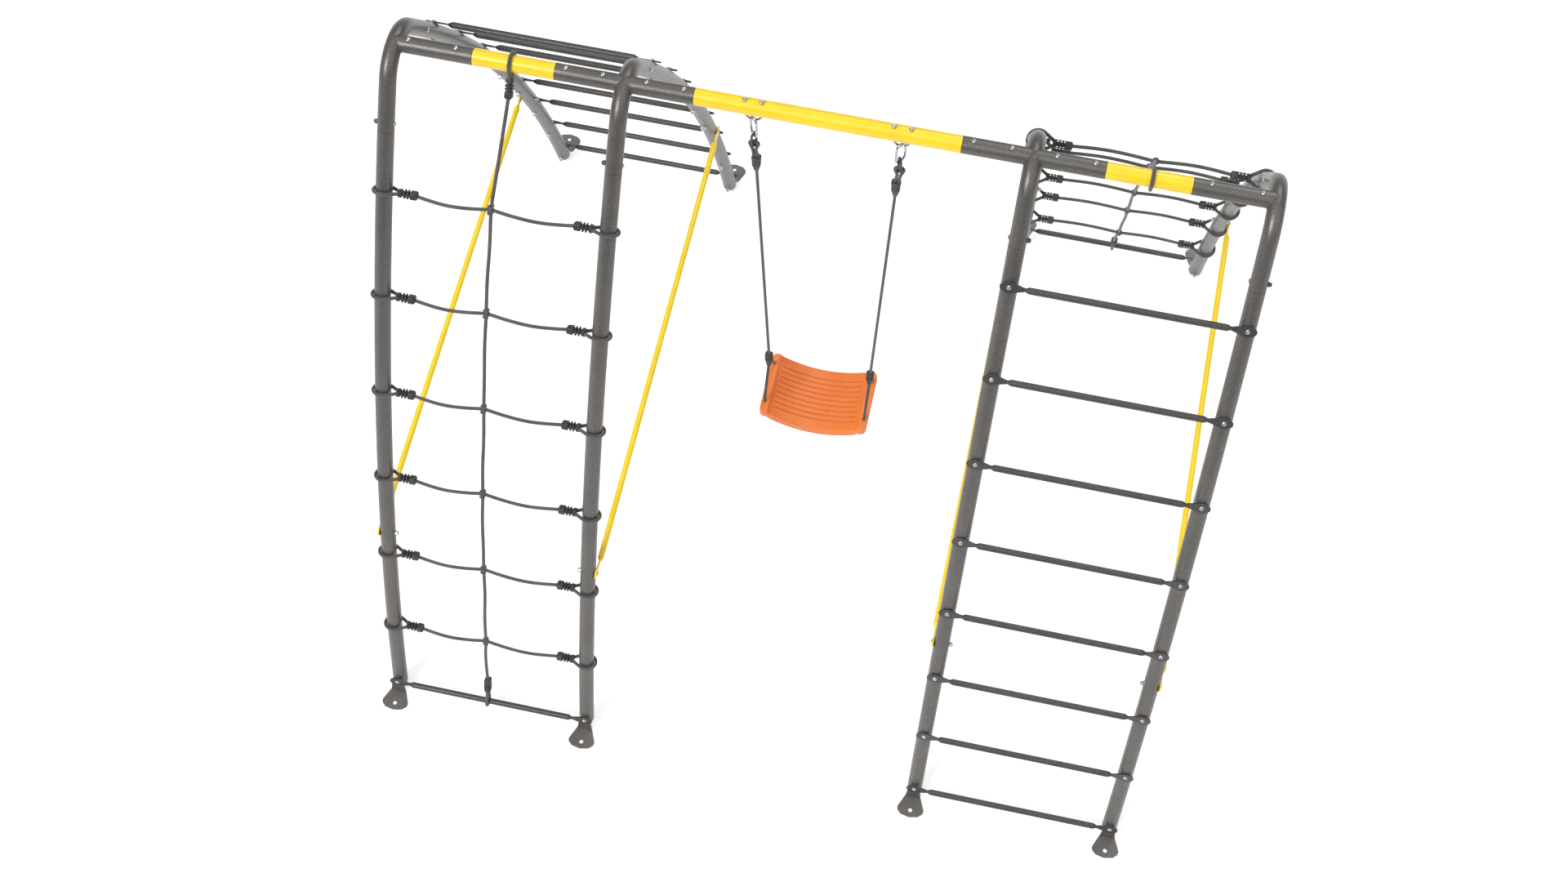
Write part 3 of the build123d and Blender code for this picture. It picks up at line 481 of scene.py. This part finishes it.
def ferrule_stations():
    core = (14.0, 12.6, 6)

    def rib(x, long, w, h, edge=0.9):
        return [(x - 0.3, *core), (x, w - 2.4, h - 2.4, 5), (x + edge, w - 0.3, h - 0.3, 5.5), (x + 2 * edge, w, h, 6),
                (x + long - 2 * edge, w, h, 6), (x + long - edge, w - 0.3, h - 0.3, 5.5), (x + long, w - 2.4, h - 2.4, 5), (x + long + 0.3, *core)]

    st = [(0.0, 21.0, 15.0, 5), (0.9, 25.0, 20.0, 6), (2.2, 26.6, 22.0, 6), (5.4, 26.6, 22.0, 6), (6.6, 24.6, 20.4, 6),
          (7.8, 26.6, 22.0, 6), (11.0, 26.6, 22.0, 6), (12.2, 24.4, 19.6, 6), (12.6, *core)]
    st += rib(18.2, 5.0, 28, 24)
    st += rib(28.0, 5.0, 28, 24)
    st += [(37.6, *core), (38.0, 25.2, 21.2, 4), (39.2, 26.9, 22.9, 4.4), (41.2, 27.2, 23.2, 4.8), (48.0, 26.6, 22.8, 4.8),
           (54.0, 27.0, 23.0, 4.8), (57.0, 25.6, 21.4, 5), (59.2, 21.6, 18.0, 5.4), (60.0, 18.4, 15.6, 5.4)]
    return st


FERRULE = ferrule_stations()


def bars_into(soup, origin, xd, zd):
    """The two side rails that join a ferrule's ribs, leaving windows."""
    xd, zd = unit(xd), unit(zd)
    yd = np.cross(zd, xd)
    for d in (-1, 1):
        c = origin + yd * d * 10.9
        soup.rings([[c + xd * x + yd * a + zd * b for a, b in rounded(2.6, 7.0, 1.2)] for x in (11.4, 39.5)])


def helix_knot(soup, origin, axis, out, half, radius, rope_r, turns, lean=0.0):
    """Rope wound round a crossing, with one turn that crosses over the others."""
    axis, out = unit(axis), unit(out)
    side = np.cross(axis, out)
    pts = []
    for k in range(int(turns * 26) + 1):
        t = k / (turns * 26)
        q = 2 * math.pi * turns * t + 0.6
        z = half * (2 * t - 1)
        pts.append(origin + axis * (z + lean * math.sin(q)) + radius * (math.cos(q) * side + math.sin(q) * out))
    soup.rings(rope_rings(np.array(pts), rope_r, 3, 14.0, 10, 0.12))
    over = []
    for k in range(25):
        t = k / 24
        q = math.radians(-150 + 120 * t) if lean < 0 else math.radians(30 + 120 * t)
        over.append(origin + axis * (half * 0.75 * (1 - 2 * t)) + (radius + rope_r * 0.55) * (math.cos(q) * side + math.sin(q) * out))
    soup.rings(rope_rings(np.array(over), rope_r * 0.8, 3, 14.0, 10, 0.12))


# ------------------------------------------------------------ rope nets
for side in (1, -1):
    word = WORD[side]
    centre = CENTRE[side]
    frames = (FRAME_X[0], FRAME_X[1]) if side == 1 else (FRAME_X[2], FRAME_X[3])
    knot_x = centre + KNOT_DX[side]
    for level, s in enumerate(NET_S, 1):
        loops, sleeves = Soup(), Soup()
        _, _, a = profile(s)
        zd = np.array([0, -side * math.cos(a), -math.sin(a)])
        for x, d in zip(frames, (1, -1)):
            xd = np.array([d, 0.0, 0.0])
            o = spot(x, s, 0, side)
            loops.rings(rope_rings(teardrop_points(o, xd, zd, LOOP_R, FERRULE_A + 5, 6.3), ROPE_R))
            sleeve_into(sleeves, o + xd * FERRULE_A, xd, zd, FERRULE)
            bars_into(sleeves, o + xd * FERRULE_A, xd, zd)
        loop = loops.make(f"{word}_leg_loops_{level}", ROPE, "root", slot="rope", stands_for=(f"{word}_net_loops",))
        cuff = sleeves.make(f"{word}_sleeves_{level}", BLACK, "root", slot="black_plastic",
                            stands_for=(f"{word}_net_ferrules",), angle=40)
        halves = []
        for d in (-1, 1):
            xa = centre + d * (HALF - FERRULE_B + 12)
            xb = knot_x + d * 4
            halves.append([spot(xa + (xb - xa) * t, s + 10 * w, 8.5 * w, side)
                           for t, w in ((0, 0), (0.22, 0.62), (0.48, 1.0), (0.76, 0.64), (1, 0))])
        laid_rope(f"{word}_level_rope_{level}", halves[0] + halves[1][::-1], ROPE_R, ROPE, "root",
                  (f"{word}_net_ropes",))

    # upright rope, its end loops and sleeves
    beam_at = np.array([centre + BEAM_LOOP_DX[side], 0, APEX])
    first = spot(knot_x, NET_S[0], 0, side)
    bar_at = spot(centre + BAR_LOOP_DX[side], S_FOOT, FOOT_BAR_N, side)
    last = spot(knot_x, NET_S[-1], 0, side)
    d_top = first - beam_at
    d_top = unit((0, d_top[1], d_top[2]))
    d_bot = last - bar_at
    d_bot = unit((0, d_bot[1], d_bot[2]))
    reach = 54.0
    ends, end_sleeves = [], []
    for at, dirn, ring, from_axis, tag in ((beam_at, d_top, LOOP_R, FERRULE_A, "beam"), (bar_at, d_bot, BAR_R + ROPE_R + 0.5, reach, "bar")):
        loops, sleeves = Soup(), Soup()
        zd = np.array([1.0, 0, 0])
        loops.rings(rope_rings(teardrop_points(at, dirn, zd, ring, from_axis + 5, 6.3), ROPE_R))
        sleeve_into(sleeves, at + dirn * from_axis, dirn, zd, FERRULE)
        bars_into(sleeves, at + dirn * from_axis, dirn, zd)
        ends.append(loops.make(f"{word}_{tag}_loop", ROPE, "root", slot="rope", stands_for=(f"{word}_net_end_loops",)))
        end_sleeves.append(sleeves.make(f"{word}_{tag}_sleeve", BLACK, "root", slot="black_plastic",
                                        stands_for=(f"{word}_net_end_ferrules",), angle=40))
    knots = Soup()
    for s in NET_S:
        _, _, a = profile(s)
        up = np.array([0, side * math.cos(a), math.sin(a)])
        out = np.array([0, -side * math.sin(a), math.cos(a)])
        helix_knot(knots, spot(knot_x, s, 0, side), up, out, 15.5, 6.2, 4.7, 3.0, lean=1.6)
    tied = knots.make(f"{word}_hitches", ROPE, "root", slot="rope", stands_for=(f"{word}_net_knots",))
    start = beam_at + d_top * (FERRULE_B - 10)
    route = [start,
             start + (first - start) * 0.5 + np.array([2.0 * side, -side * 5, 3]),
             start + (first - start) * 0.82 + np.array([1.0 * side, -side * 3, 2]),
             first]
    for k, (sa, sb) in enumerate(zip(NET_S[:-1], NET_S[1:])):
        bow = (3.0, -2.0, 2.5, -2.5, 3.5)[k]
        route += [spot(knot_x + bow, sa + (sb - sa) * 0.34, 1, side),
                  spot(knot_x - bow * 0.4, sa + (sb - sa) * 0.67, 2, side),
                  spot(knot_x, sb, 0, side)]
    stop = bar_at + d_bot * (reach + FERRULE_B - FERRULE_A - 10)
    route += [last + (stop - last) * 0.45 + np.array([-6.0, 0, 0]), stop]
    laid_rope(f"{word}_upright_rope", route, ROPE_R, ROPE, "root", (f"{word}_net_upright",))

# ------------------------------------------------------------ swing ropes
BLOCK_TOP = [(0, 21, 16, 6), (-0.8, 26, 20, 6.5), (-1.8, 28.4, 22.4, 7), (-4, 28.8, 22.8, 7), (-13.2, 28.2, 22.4, 7), (-14.0, 25.6, 20, 6.5), (-14.6, 23.6, 18.2, 6)]
UPPER = list(BLOCK_TOP)
for k in range(4):
    z = -17.5 - 7.2 * k
    UPPER += [(z + 1.4, 24.8 - 0.2 * k, 19.2, 6), (z + 0.6, 26.8 - 0.4 * k, 21, 6), (z - 1.6, 27 - 0.4 * k, 21.2, 6), (z - 3.0, 25.4 - 0.4 * k, 19.6, 6), (z - 4.2, 24.6 - 0.3 * k, 19, 6)]
UPPER += [(-45, 24, 18.6, 6), (-56, 19.4, 16.4, 5.4), (-66, 15.6, 14.4, 5), (-69, 14.4, 13.4, 5), (-70, 12.4, 11.6, 5)]
LOWER = [(0, 20, 17, 6), (-1, 23.4, 20, 6), (-2.6, 25.8, 22.6, 6.5), (-5, 26.6, 23.6, 6.5), (-10, 26.6, 23.6, 6.5), (-11.2, 24.8, 22, 6), (-12.4, 24, 21.6, 6)]
for k in range(3):
    z = -16.5 - 8.4 * k
    LOWER += [(z + 1.4, 24.0, 22, 6), (z + 0.4, 26.4, 24, 6), (z - 1.8, 26.6, 24.4, 6), (z - 3.2, 24.8, 23, 6), (z - 4.6, 24.0, 22.6, 6)]
LOWER += [(-42, 23.6, 23.6, 6), (-55, 18.6, 24, 5.6), (-65, 15.0, 24.4, 5), (-69, 13.6, 24, 5), (-70, 11.6, 22, 5)]

for d, word in ((-1, "left"), (1, "right")):
    soup = Soup()
    x = d * hang_x(UPPER_BLOCK - 35)
    soup.rings([[np.array([x + a, b, UPPER_BLOCK + z]) for a, b in rounded(w, h, r)] for z, w, h, r in UPPER])
    upper = soup.make(f"swing_adjuster_{word}", BLACK, "swing", slot="black_plastic", stands_for=("swing_upper_blocks",), angle=42)
    soup = Soup()
    xl = d * hang_x(LOWER_BLOCK - 35)
    soup.rings([[np.array([xl + a, b, LOWER_BLOCK + z]) for a, b in rounded(w, h, r)] for z, w, h, r in LOWER])
    lower = soup.make(f"swing_splitter_{word}", BLACK, "swing", slot="black_plastic", stands_for=("swing_lower_blocks",), angle=42)
    # rope round the thimble
    soup = Soup()
    top = np.array([d * SWING_X, 0, THIMBLE_Z])
    eye = teardrop_points(top, (0, 0, -1), (0, -1, 0), THIMBLE_RING, 27.0, 5.2)
    low = THIMBLE_Z - UPPER_BLOCK + 8
    tails = [np.array([[d * SWING_X + g * 5.2, 0, THIMBLE_Z - 27.0 - k] for k in np.linspace(2, low - 27.0, 10)]) for g in (-1, 1)]
    first_tail = tails[0] if eye[0][0] < top[0] else tails[1]
    other_tail = tails[1] if eye[0][0] < top[0] else tails[0]
    lean = (x - d * SWING_X) / (low - 27.0)
    for tail in tails:
        tail[:, 0] += lean * (THIMBLE_Z - 27.0 - tail[:, 2])
    soup.rings(rope_rings(np.vstack([first_tail[::-1], eye, other_tail]), LINE_R, 4, 30.0))
    loop = soup.make(f"swing_eye_rope_{word}", LINE, "swing", slot="rope", stands_for=("swing_rope_loops",))
    # channel ring of the thimble
    soup = Soup()
    section = [(7.0, -4.2), (7.0, 4.2), (7.5, 4.6), (9.5, 4.5), (9.7, 4.0), (8.4, 3.0), (8.0, 0.0), (8.4, -3.0), (9.7, -4.0), (9.5, -4.5), (7.5, -4.6)]
    rings = []
    for k in range(40):
        q = 2 * math.pi * k / 40
        rings.append([top + np.array([r * math.cos(q), w, r * math.sin(q)]) for r, w in section])
    soup.rings(rings, loop=True)
    thimble = soup.make(f"swing_thimble_{word}", BLACK, "swing", slot="black_plastic", stands_for=("swing_thimbles",), angle=50)
    a = np.array([x, 0, UPPER_BLOCK - BLOCK_L + 10])
    b = np.array([xl, 0, LOWER_BLOCK - 10])
    laid_rope(f"swing_rope_{word}", [a + (b - a) * t for t in (0, 0.25, 0.5, 0.75, 1)], LINE_R, LINE, "swing",
              ("swing_ropes",), pitch=32.0)
    for side, where in ((1, "front"), (-1, "rear")):
        soup = Soup()
        hole = np.array([d * SEAT_HOLE[0], side * SEAT_HOLE[1], 0])
        helix_knot(soup, hole + np.array([0, 0, SEAT_Z - 19.0]), (0, 0, 1), (1, 0, 0), 4.6, 3.8, 3.5, 2.5, lean=1.2)
        soup.rings(rope_rings(np.array([hole + np.array([0, 0, z]) for z in np.linspace(SEAT_Z - 36, SEAT_Z - 6, 16)]), 4.4, 4, 30.0))
        tied = soup.make(f"swing_knot_{word}_{where}", LINE, "swing", slot="rope", stands_for=("swing_knots",))
        pts = [(xl, side * 6.0, LOWER_BLOCK - BLOCK_L + 12), (xl, side * 9.0, LOWER_BLOCK - BLOCK_L - 6),
               (xl + d * 0.2, side * 72.0, SEAT_Z + 30), (d * SEAT_HOLE[0], side * SEAT_HOLE[1], SEAT_Z - 13)]
        laid_rope(f"swing_strand_{word}_{where}", pts, LINE_R, LINE, "swing", ("swing_strands",),
                  pitch=32.0)


# ------------------------------------------------------------ swing seat
def seat():
    """Moulded pan: end flanges, a step down, a bowed floor with grooves, a rolled skirt."""
    half_l, half_w, roll = SEAT_L / 2, SEAT_W / 2, 6.0
    corner = 20.0
    in_l, in_w, in_r = half_l - roll, half_w - roll, corner - roll
    flange = 30.0
    inner = half_l - flange - 7

    def top(x):
        ax = abs(x)
        if ax >= half_l - flange + 4:
            return SEAT_Z
        if ax >= half_l - flange - 10:
            t = (half_l - flange + 4 - ax) / 14.0
            return SEAT_Z - 13.0 * t * t * (3 - 2 * t)
        t = ax / inner
        return SEAT_Z - SEAT_DROP + (SEAT_DROP - 12.2) * min(1.0, t * t)

    xs = sorted(set([round(v, 2) for v in list(np.linspace(-in_l, in_l, 67))
                     + [s * (half_l - flange + k) for s in (-1, 1) for k in (-14, -11, -8, -5, -2, 1, 4, 7)]
                     + [s * (in_l - in_r + in_r * math.sin(math.radians(q))) for s in (-1, 1) for q in (0, 22, 45, 66, 80)]]))
    grooves = [20.0 * k for k in range(-4, 5)]
    ys = set([-in_w, in_w])
    for g in grooves:
        ys.update([g - 2.6, g - 1.5, g, g + 1.5, g + 2.6, g + 6, g - 6, g + 10])
    ys = sorted(y for y in ys if -in_w <= y <= in_w)
    ys = sorted(set(ys + [-in_w + 4, in_w - 4, -in_w + 10, in_w - 10]))
    verts, faces, index = [], [], {}
    for i, x in enumerate(xs):
        ax = abs(x)
        w = in_w
        if ax > in_l - in_r:
            w = in_w - in_r + math.sqrt(max(0.0, in_r ** 2 - (ax - in_l + in_r) ** 2))
        for j, y in enumerate(ys):
            v = y / in_w * w
            z = top(x)
            dip = 0.0
            if ax < inner - 4:
                g = min(abs(y - q) for q in grooves)
                ends = min(1.0, (inner - 4 - ax) / 5.0)
                dip = (2.4 if g < 0.6 else 2.0 if g < 1.7 else 0.0) * ends
            index[i, j] = len(verts)
            verts.append([x, v, z - dip])
    for i in range(len(xs) - 1):
        for j in range(len(ys) - 1):
            faces.append((index[i, j], index[i + 1, j], index[i + 1, j + 1], index[i, j + 1]))
    m, n = len(xs) - 1, len(ys) - 1
    rim = [index[i, 0] for i in range(m)] + [index[m, j] for j in range(n)]
    rim += [index[i, n] for i in range(m, 0, -1)] + [index[0, j] for j in range(n, 0, -1)]
    prev = rim
    for k in range(1, 6):
        a = math.radians(90 * k / 5)
        ring = []
        for r in rim:
            x, y, z = verts[r]
            cx, cy = max(-(in_l - in_r), min(in_l - in_r, x)), max(-(in_w - in_r), min(in_w - in_r, y))
            nx, ny = x - cx, y - cy
            q = math.hypot(nx, ny) or 1.0
            ring.append(len(verts))
            verts.append([x + nx / q * roll * math.sin(a), y + ny / q * roll * math.sin(a), z - roll * (1 - math.cos(a))])
        faces.extend((prev[i], ring[i], ring[(i + 1) % len(rim)], prev[(i + 1) % len(rim)]) for i in range(len(rim)))
        prev = ring
    for drop, bulge in ((7.0, 0.0), (14.0, -0.5), (20.0, -0.6), (22.5, 0.2), (24.0, 0.9)):
        ring = []
        for r, p in zip(rim, prev):
            x, y, z = verts[r]
            cx, cy = max(-(in_l - in_r), min(in_l - in_r, x)), max(-(in_w - in_r), min(in_w - in_r, y))
            nx, ny = x - cx, y - cy
            q = math.hypot(nx, ny) or 1.0
            ring.append(len(verts))
            verts.append([x + nx / q * (roll + bulge), y + ny / q * (roll + bulge), z - roll - drop])
        faces.extend((prev[i], ring[i], ring[(i + 1) % len(rim)], prev[(i + 1) % len(rim)]) for i in range(len(rim)))
        prev = ring
    ob = piece("swing_seat_pan", verts, [f[::-1] for f in faces], SEAT, "swing", slot="seat_plastic",
               stands_for=("swing_seat",), angle=60)
    import bmesh
    bm = bmesh.new()
    bm.from_mesh(ob.data)
    bmesh.ops.recalc_face_normals(bm, faces=bm.faces)
    if sum(f.normal.z * f.calc_area() for f in bm.faces) < 0:
        bmesh.ops.reverse_faces(bm, faces=bm.faces)
    bm.to_mesh(ob.data)
    bm.free()
    # faces in the groove bottoms take the darker orange: painted shade in the grooves
    ob.data.materials.append(GROOVE_SHADE)
    for p in ob.data.polygons:
        mid = p.center / MM
        if abs(mid.x) < inner - 8 and abs(mid.y) < in_w - 8 and min(abs(mid.y - q) for q in grooves) < 2.1:
            p.material_index = 1
    thick = ob.modifiers.new("wall", "SOLIDIFY")
    thick.thickness = 4.5 * MM
    thick.offset = -1
    soup = Soup()
    for sx in (-1, 1):
        for sy in (-1, 1):
            c = np.array([sx * SEAT_HOLE[0], sy * SEAT_HOLE[1], SEAT_Z])
            rings = []
            for k in range(28):
                q = 2 * math.pi * k / 28
                rings.append([c + np.array([(7.6 + 1.9 * math.cos(b)) * math.cos(q), (7.6 + 1.9 * math.cos(b)) * math.sin(q), 1.1 * math.sin(b)])
                              for b in np.linspace(0, 2 * math.pi, 10, endpoint=False)])
            soup.rings(rings, loop=True)
    soup.make("swing_seat_eyelets", SEAT, "swing", slot="seat_plastic")


seat()

# ------------------------------------------------------------ welds and joint lines
beads = Soup()
for i, x in enumerate(FRAME_X):
    for d in {0: (1,), 1: (-1, 1), 2: (-1, 1), 3: (-1,)}[i]:
        line = []
        for k in range(120):
            q = 2 * math.pi * k / 120
            y, z = TUBE_R * math.cos(q), TUBE_R * math.sin(q)
            away = math.hypot(y, z + ELBOW_R) - ELBOW_R
            away = max(-TUBE_R, min(TUBE_R, away))
            line.append(np.array([x + d * math.sqrt(max(TUBE_R ** 2 - away ** 2, 0.4)), y, APEX + z]))
        line = np.array(line)
        pts, t, u, w = frames_along(line, loop=True)
        rings = []
        for k, (p, a, e) in enumerate(zip(pts, u, w)):
            r = 2.3 + 0.35 * math.sin(k * 2 * math.pi / 4)
            rings.append([p + r * (math.cos(b) * a + math.sin(b) * e) for b in np.linspace(0, 2 * math.pi, 10, endpoint=False)])
        # the frame turns slowly round the loop, so close it with the nearest start point
        shift = min(range(10), key=lambda s: sum(np.linalg.norm(rings[-1][b] - rings[0][(b + s) % 10]) for b in range(10)))
        rings[0:0] = []
        base, n, m = len(beads.v), 10, len(rings)
        for r in rings:
            beads.v.extend(r)
        for k in range(m):
            sh = shift if k == m - 1 else 0
            a0, b0 = base + k * n, base + ((k + 1) % m) * n
            for b in range(n):
                c = (b + 1) % n
                beads.f.append((a0 + b, a0 + c, b0 + (c + sh) % n, b0 + (b + sh) % n))
beads.make("weld_beads", GRAY, "root", slot="gray_frame")

seams = Soup()


def band(centre, along, width, radius):
    along = unit(along)
    u = unit(np.cross(along, (0, 0, 1)) if abs(along[2]) < 0.9 else np.cross(along, (1, 0, 0)))
    w = np.cross(along, u)
    rings = []
    for k in range(48):
        q = 2 * math.pi * k / 48
        r = math.cos(q) * u + math.sin(q) * w
        rings.append([centre + r * (radius - 1.2) - along * width / 2, centre + r * radius - along * width / 2,
                      centre + r * radius + along * width / 2, centre + r * (radius - 1.2) + along * width / 2])
    seams.rings(rings, loop=True)


for x in FRAME_X:
    for side in (1, -1):
        _, _, a = profile(S_JOINT)
        band(spot(x, S_JOINT + 0.2, 0, side), (0, -side * math.cos(a), -math.sin(a)), 1.3, TUBE_R + 0.06)
for bx in (FRAME_X[0] + STUB_OUTER, FRAME_X[1] - STUB_INNER, FRAME_X[1] + STUB_INNER,
           FRAME_X[2] - STUB_INNER, FRAME_X[2] + STUB_INNER, FRAME_X[3] - STUB_OUTER):
    band(np.array([bx, 0, APEX]), (1, 0, 0), 1.5, TUBE_R + 0.06)
seams.make("tube_joint_lines", SEAM, "root", slot="gray_frame", angle=30)

# ------------------------------------------------------------ finishes of the CAD nodes
for name, ob in nodes.items():
    if name in ("front_feet", "rear_feet"):
        dress(ob, GRAY_FOOT)
    elif name in ("front_ladder_rungs", "rear_ladder_rungs", "net_bottom_bars"):
        # these parts take the darker copy of the frame paint: painted shade
        dress(ob, GRAY_RUNG_SHADED)
        mesh = ob.data.copy()
        mesh.transform(ob.matrix_world)
        for v in mesh.vertices:
            k = min(range(4), key=lambda i: abs(v.co.x - FRAME_X[i] * MM))
            out = (-1, 1, -1, 1)[k]
            d = (v.co.x - FRAME_X[k] * MM) * out / MM
            if 8.0 < d < 26.0:              # the flat lug's rounded end reaches past the tube's edge
                v.co.x += out * (d - 8.0) * 0.75 * MM
        bar = bpy.data.objects.new(name + "_painted", mesh)
        scene.collection.objects.link(bar)
        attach(bar, "root")
        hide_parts(name)
    elif name.startswith("top_arch") or "_leg_" in name:
        dress(ob, GRAY)
    elif name.startswith("beam_") and "bolt" not in name and "nut" not in name or name == "side_braces":
        dress(ob, YELLOW)
    elif name == "rung_nuts":
        dress(ob, BLACK)
        ob.data.materials.append(ZINC)
        for face in ob.data.polygons:
            if (ob.matrix_world @ face.center).y > 0:
                face.material_index = len(ob.data.materials) - 1
    elif name == "joint_nuts":
        dress(ob, BLACK)
    elif name in ("hanger_links", "hanger_bolts"):
        dress(ob, CHROME)
    elif name == "swing_eyes":
        dress(ob, BLACK)
    elif "bolt" in name or "nut" in name or "washer" in name:
        dress(ob, ZINC)
    elif name == "swing_seat":
        dress(ob, SEAT)
    elif "ferrule" in name or "block" in name or "thimble" in name:
        dress(ob, BLACK)
    else:
        dress(ob, ROPE)

# ------------------------------------------------------------ floor and light
me = bpy.data.meshes.new("floor")
me.from_pydata([(-30, -30, -0.0005), (30, -30, -0.0005), (30, 30, -0.0005), (-30, 30, -0.0005)], [], [(0, 1, 2, 3)])
floor_mat = Nodes("pale_floor")
floor_mat.link(floor_mat.ramp(floor_mat.noise(0.7, 2), [(0.3, (0.50, 0.50, 0.50)), (0.7, (0.54, 0.54, 0.54))]), "Base Color")
floor_mat.set(Roughness=0.9, Emission_Color=(1.0, 1.0, 1.0, 1.0), Emission_Strength=0.6)
me.materials.append(floor_mat.mat)
floor = bpy.data.objects.new("floor", me)
scene.collection.objects.link(floor)

world = bpy.data.worlds.new("studio")
world.use_nodes = True
wt = world.node_tree
tc = wt.nodes.new("ShaderNodeTexCoord")
sep = wt.nodes.new("ShaderNodeSeparateXYZ")
wt.links.new(tc.outputs["Generated"], sep.inputs["Vector"])
sky = wt.nodes.new("ShaderNodeValToRGB")
for el, (pos, v) in zip((sky.color_ramp.elements[0], sky.color_ramp.elements[1], sky.color_ramp.elements.new(0.35)),
                        ((0.0, 0.10), (1.0, 0.85), (0.45, 0.22))):
    el.position = pos
    el.color = (v, v, v, 1)
wt.links.new(sep.outputs["Z"], sky.inputs["Fac"])
wt.links.new(sky.outputs["Color"], wt.nodes["Background"].inputs["Color"])
wt.nodes["Background"].inputs["Strength"].default_value = 1.0
scene.world = world
scene.view_settings.view_transform = "Standard"


def sun(name, towards, strength, angle):
    data = bpy.data.lights.new(name, "SUN")
    data.energy = strength
    data.angle = math.radians(angle)
    ob = bpy.data.objects.new(name, data)
    ob.rotation_mode = "QUATERNION"
    ob.rotation_quaternion = Vector(towards).to_track_quat("Z", "Y")
    scene.collection.objects.link(ob)


sun("key", (-0.50, -0.60, 0.85), 2.35, 22)
sun("fill", (0.75, -0.25, 0.55), 0.40, 50)
sun("back", (0.20, 0.80, 0.75), 0.75, 30)
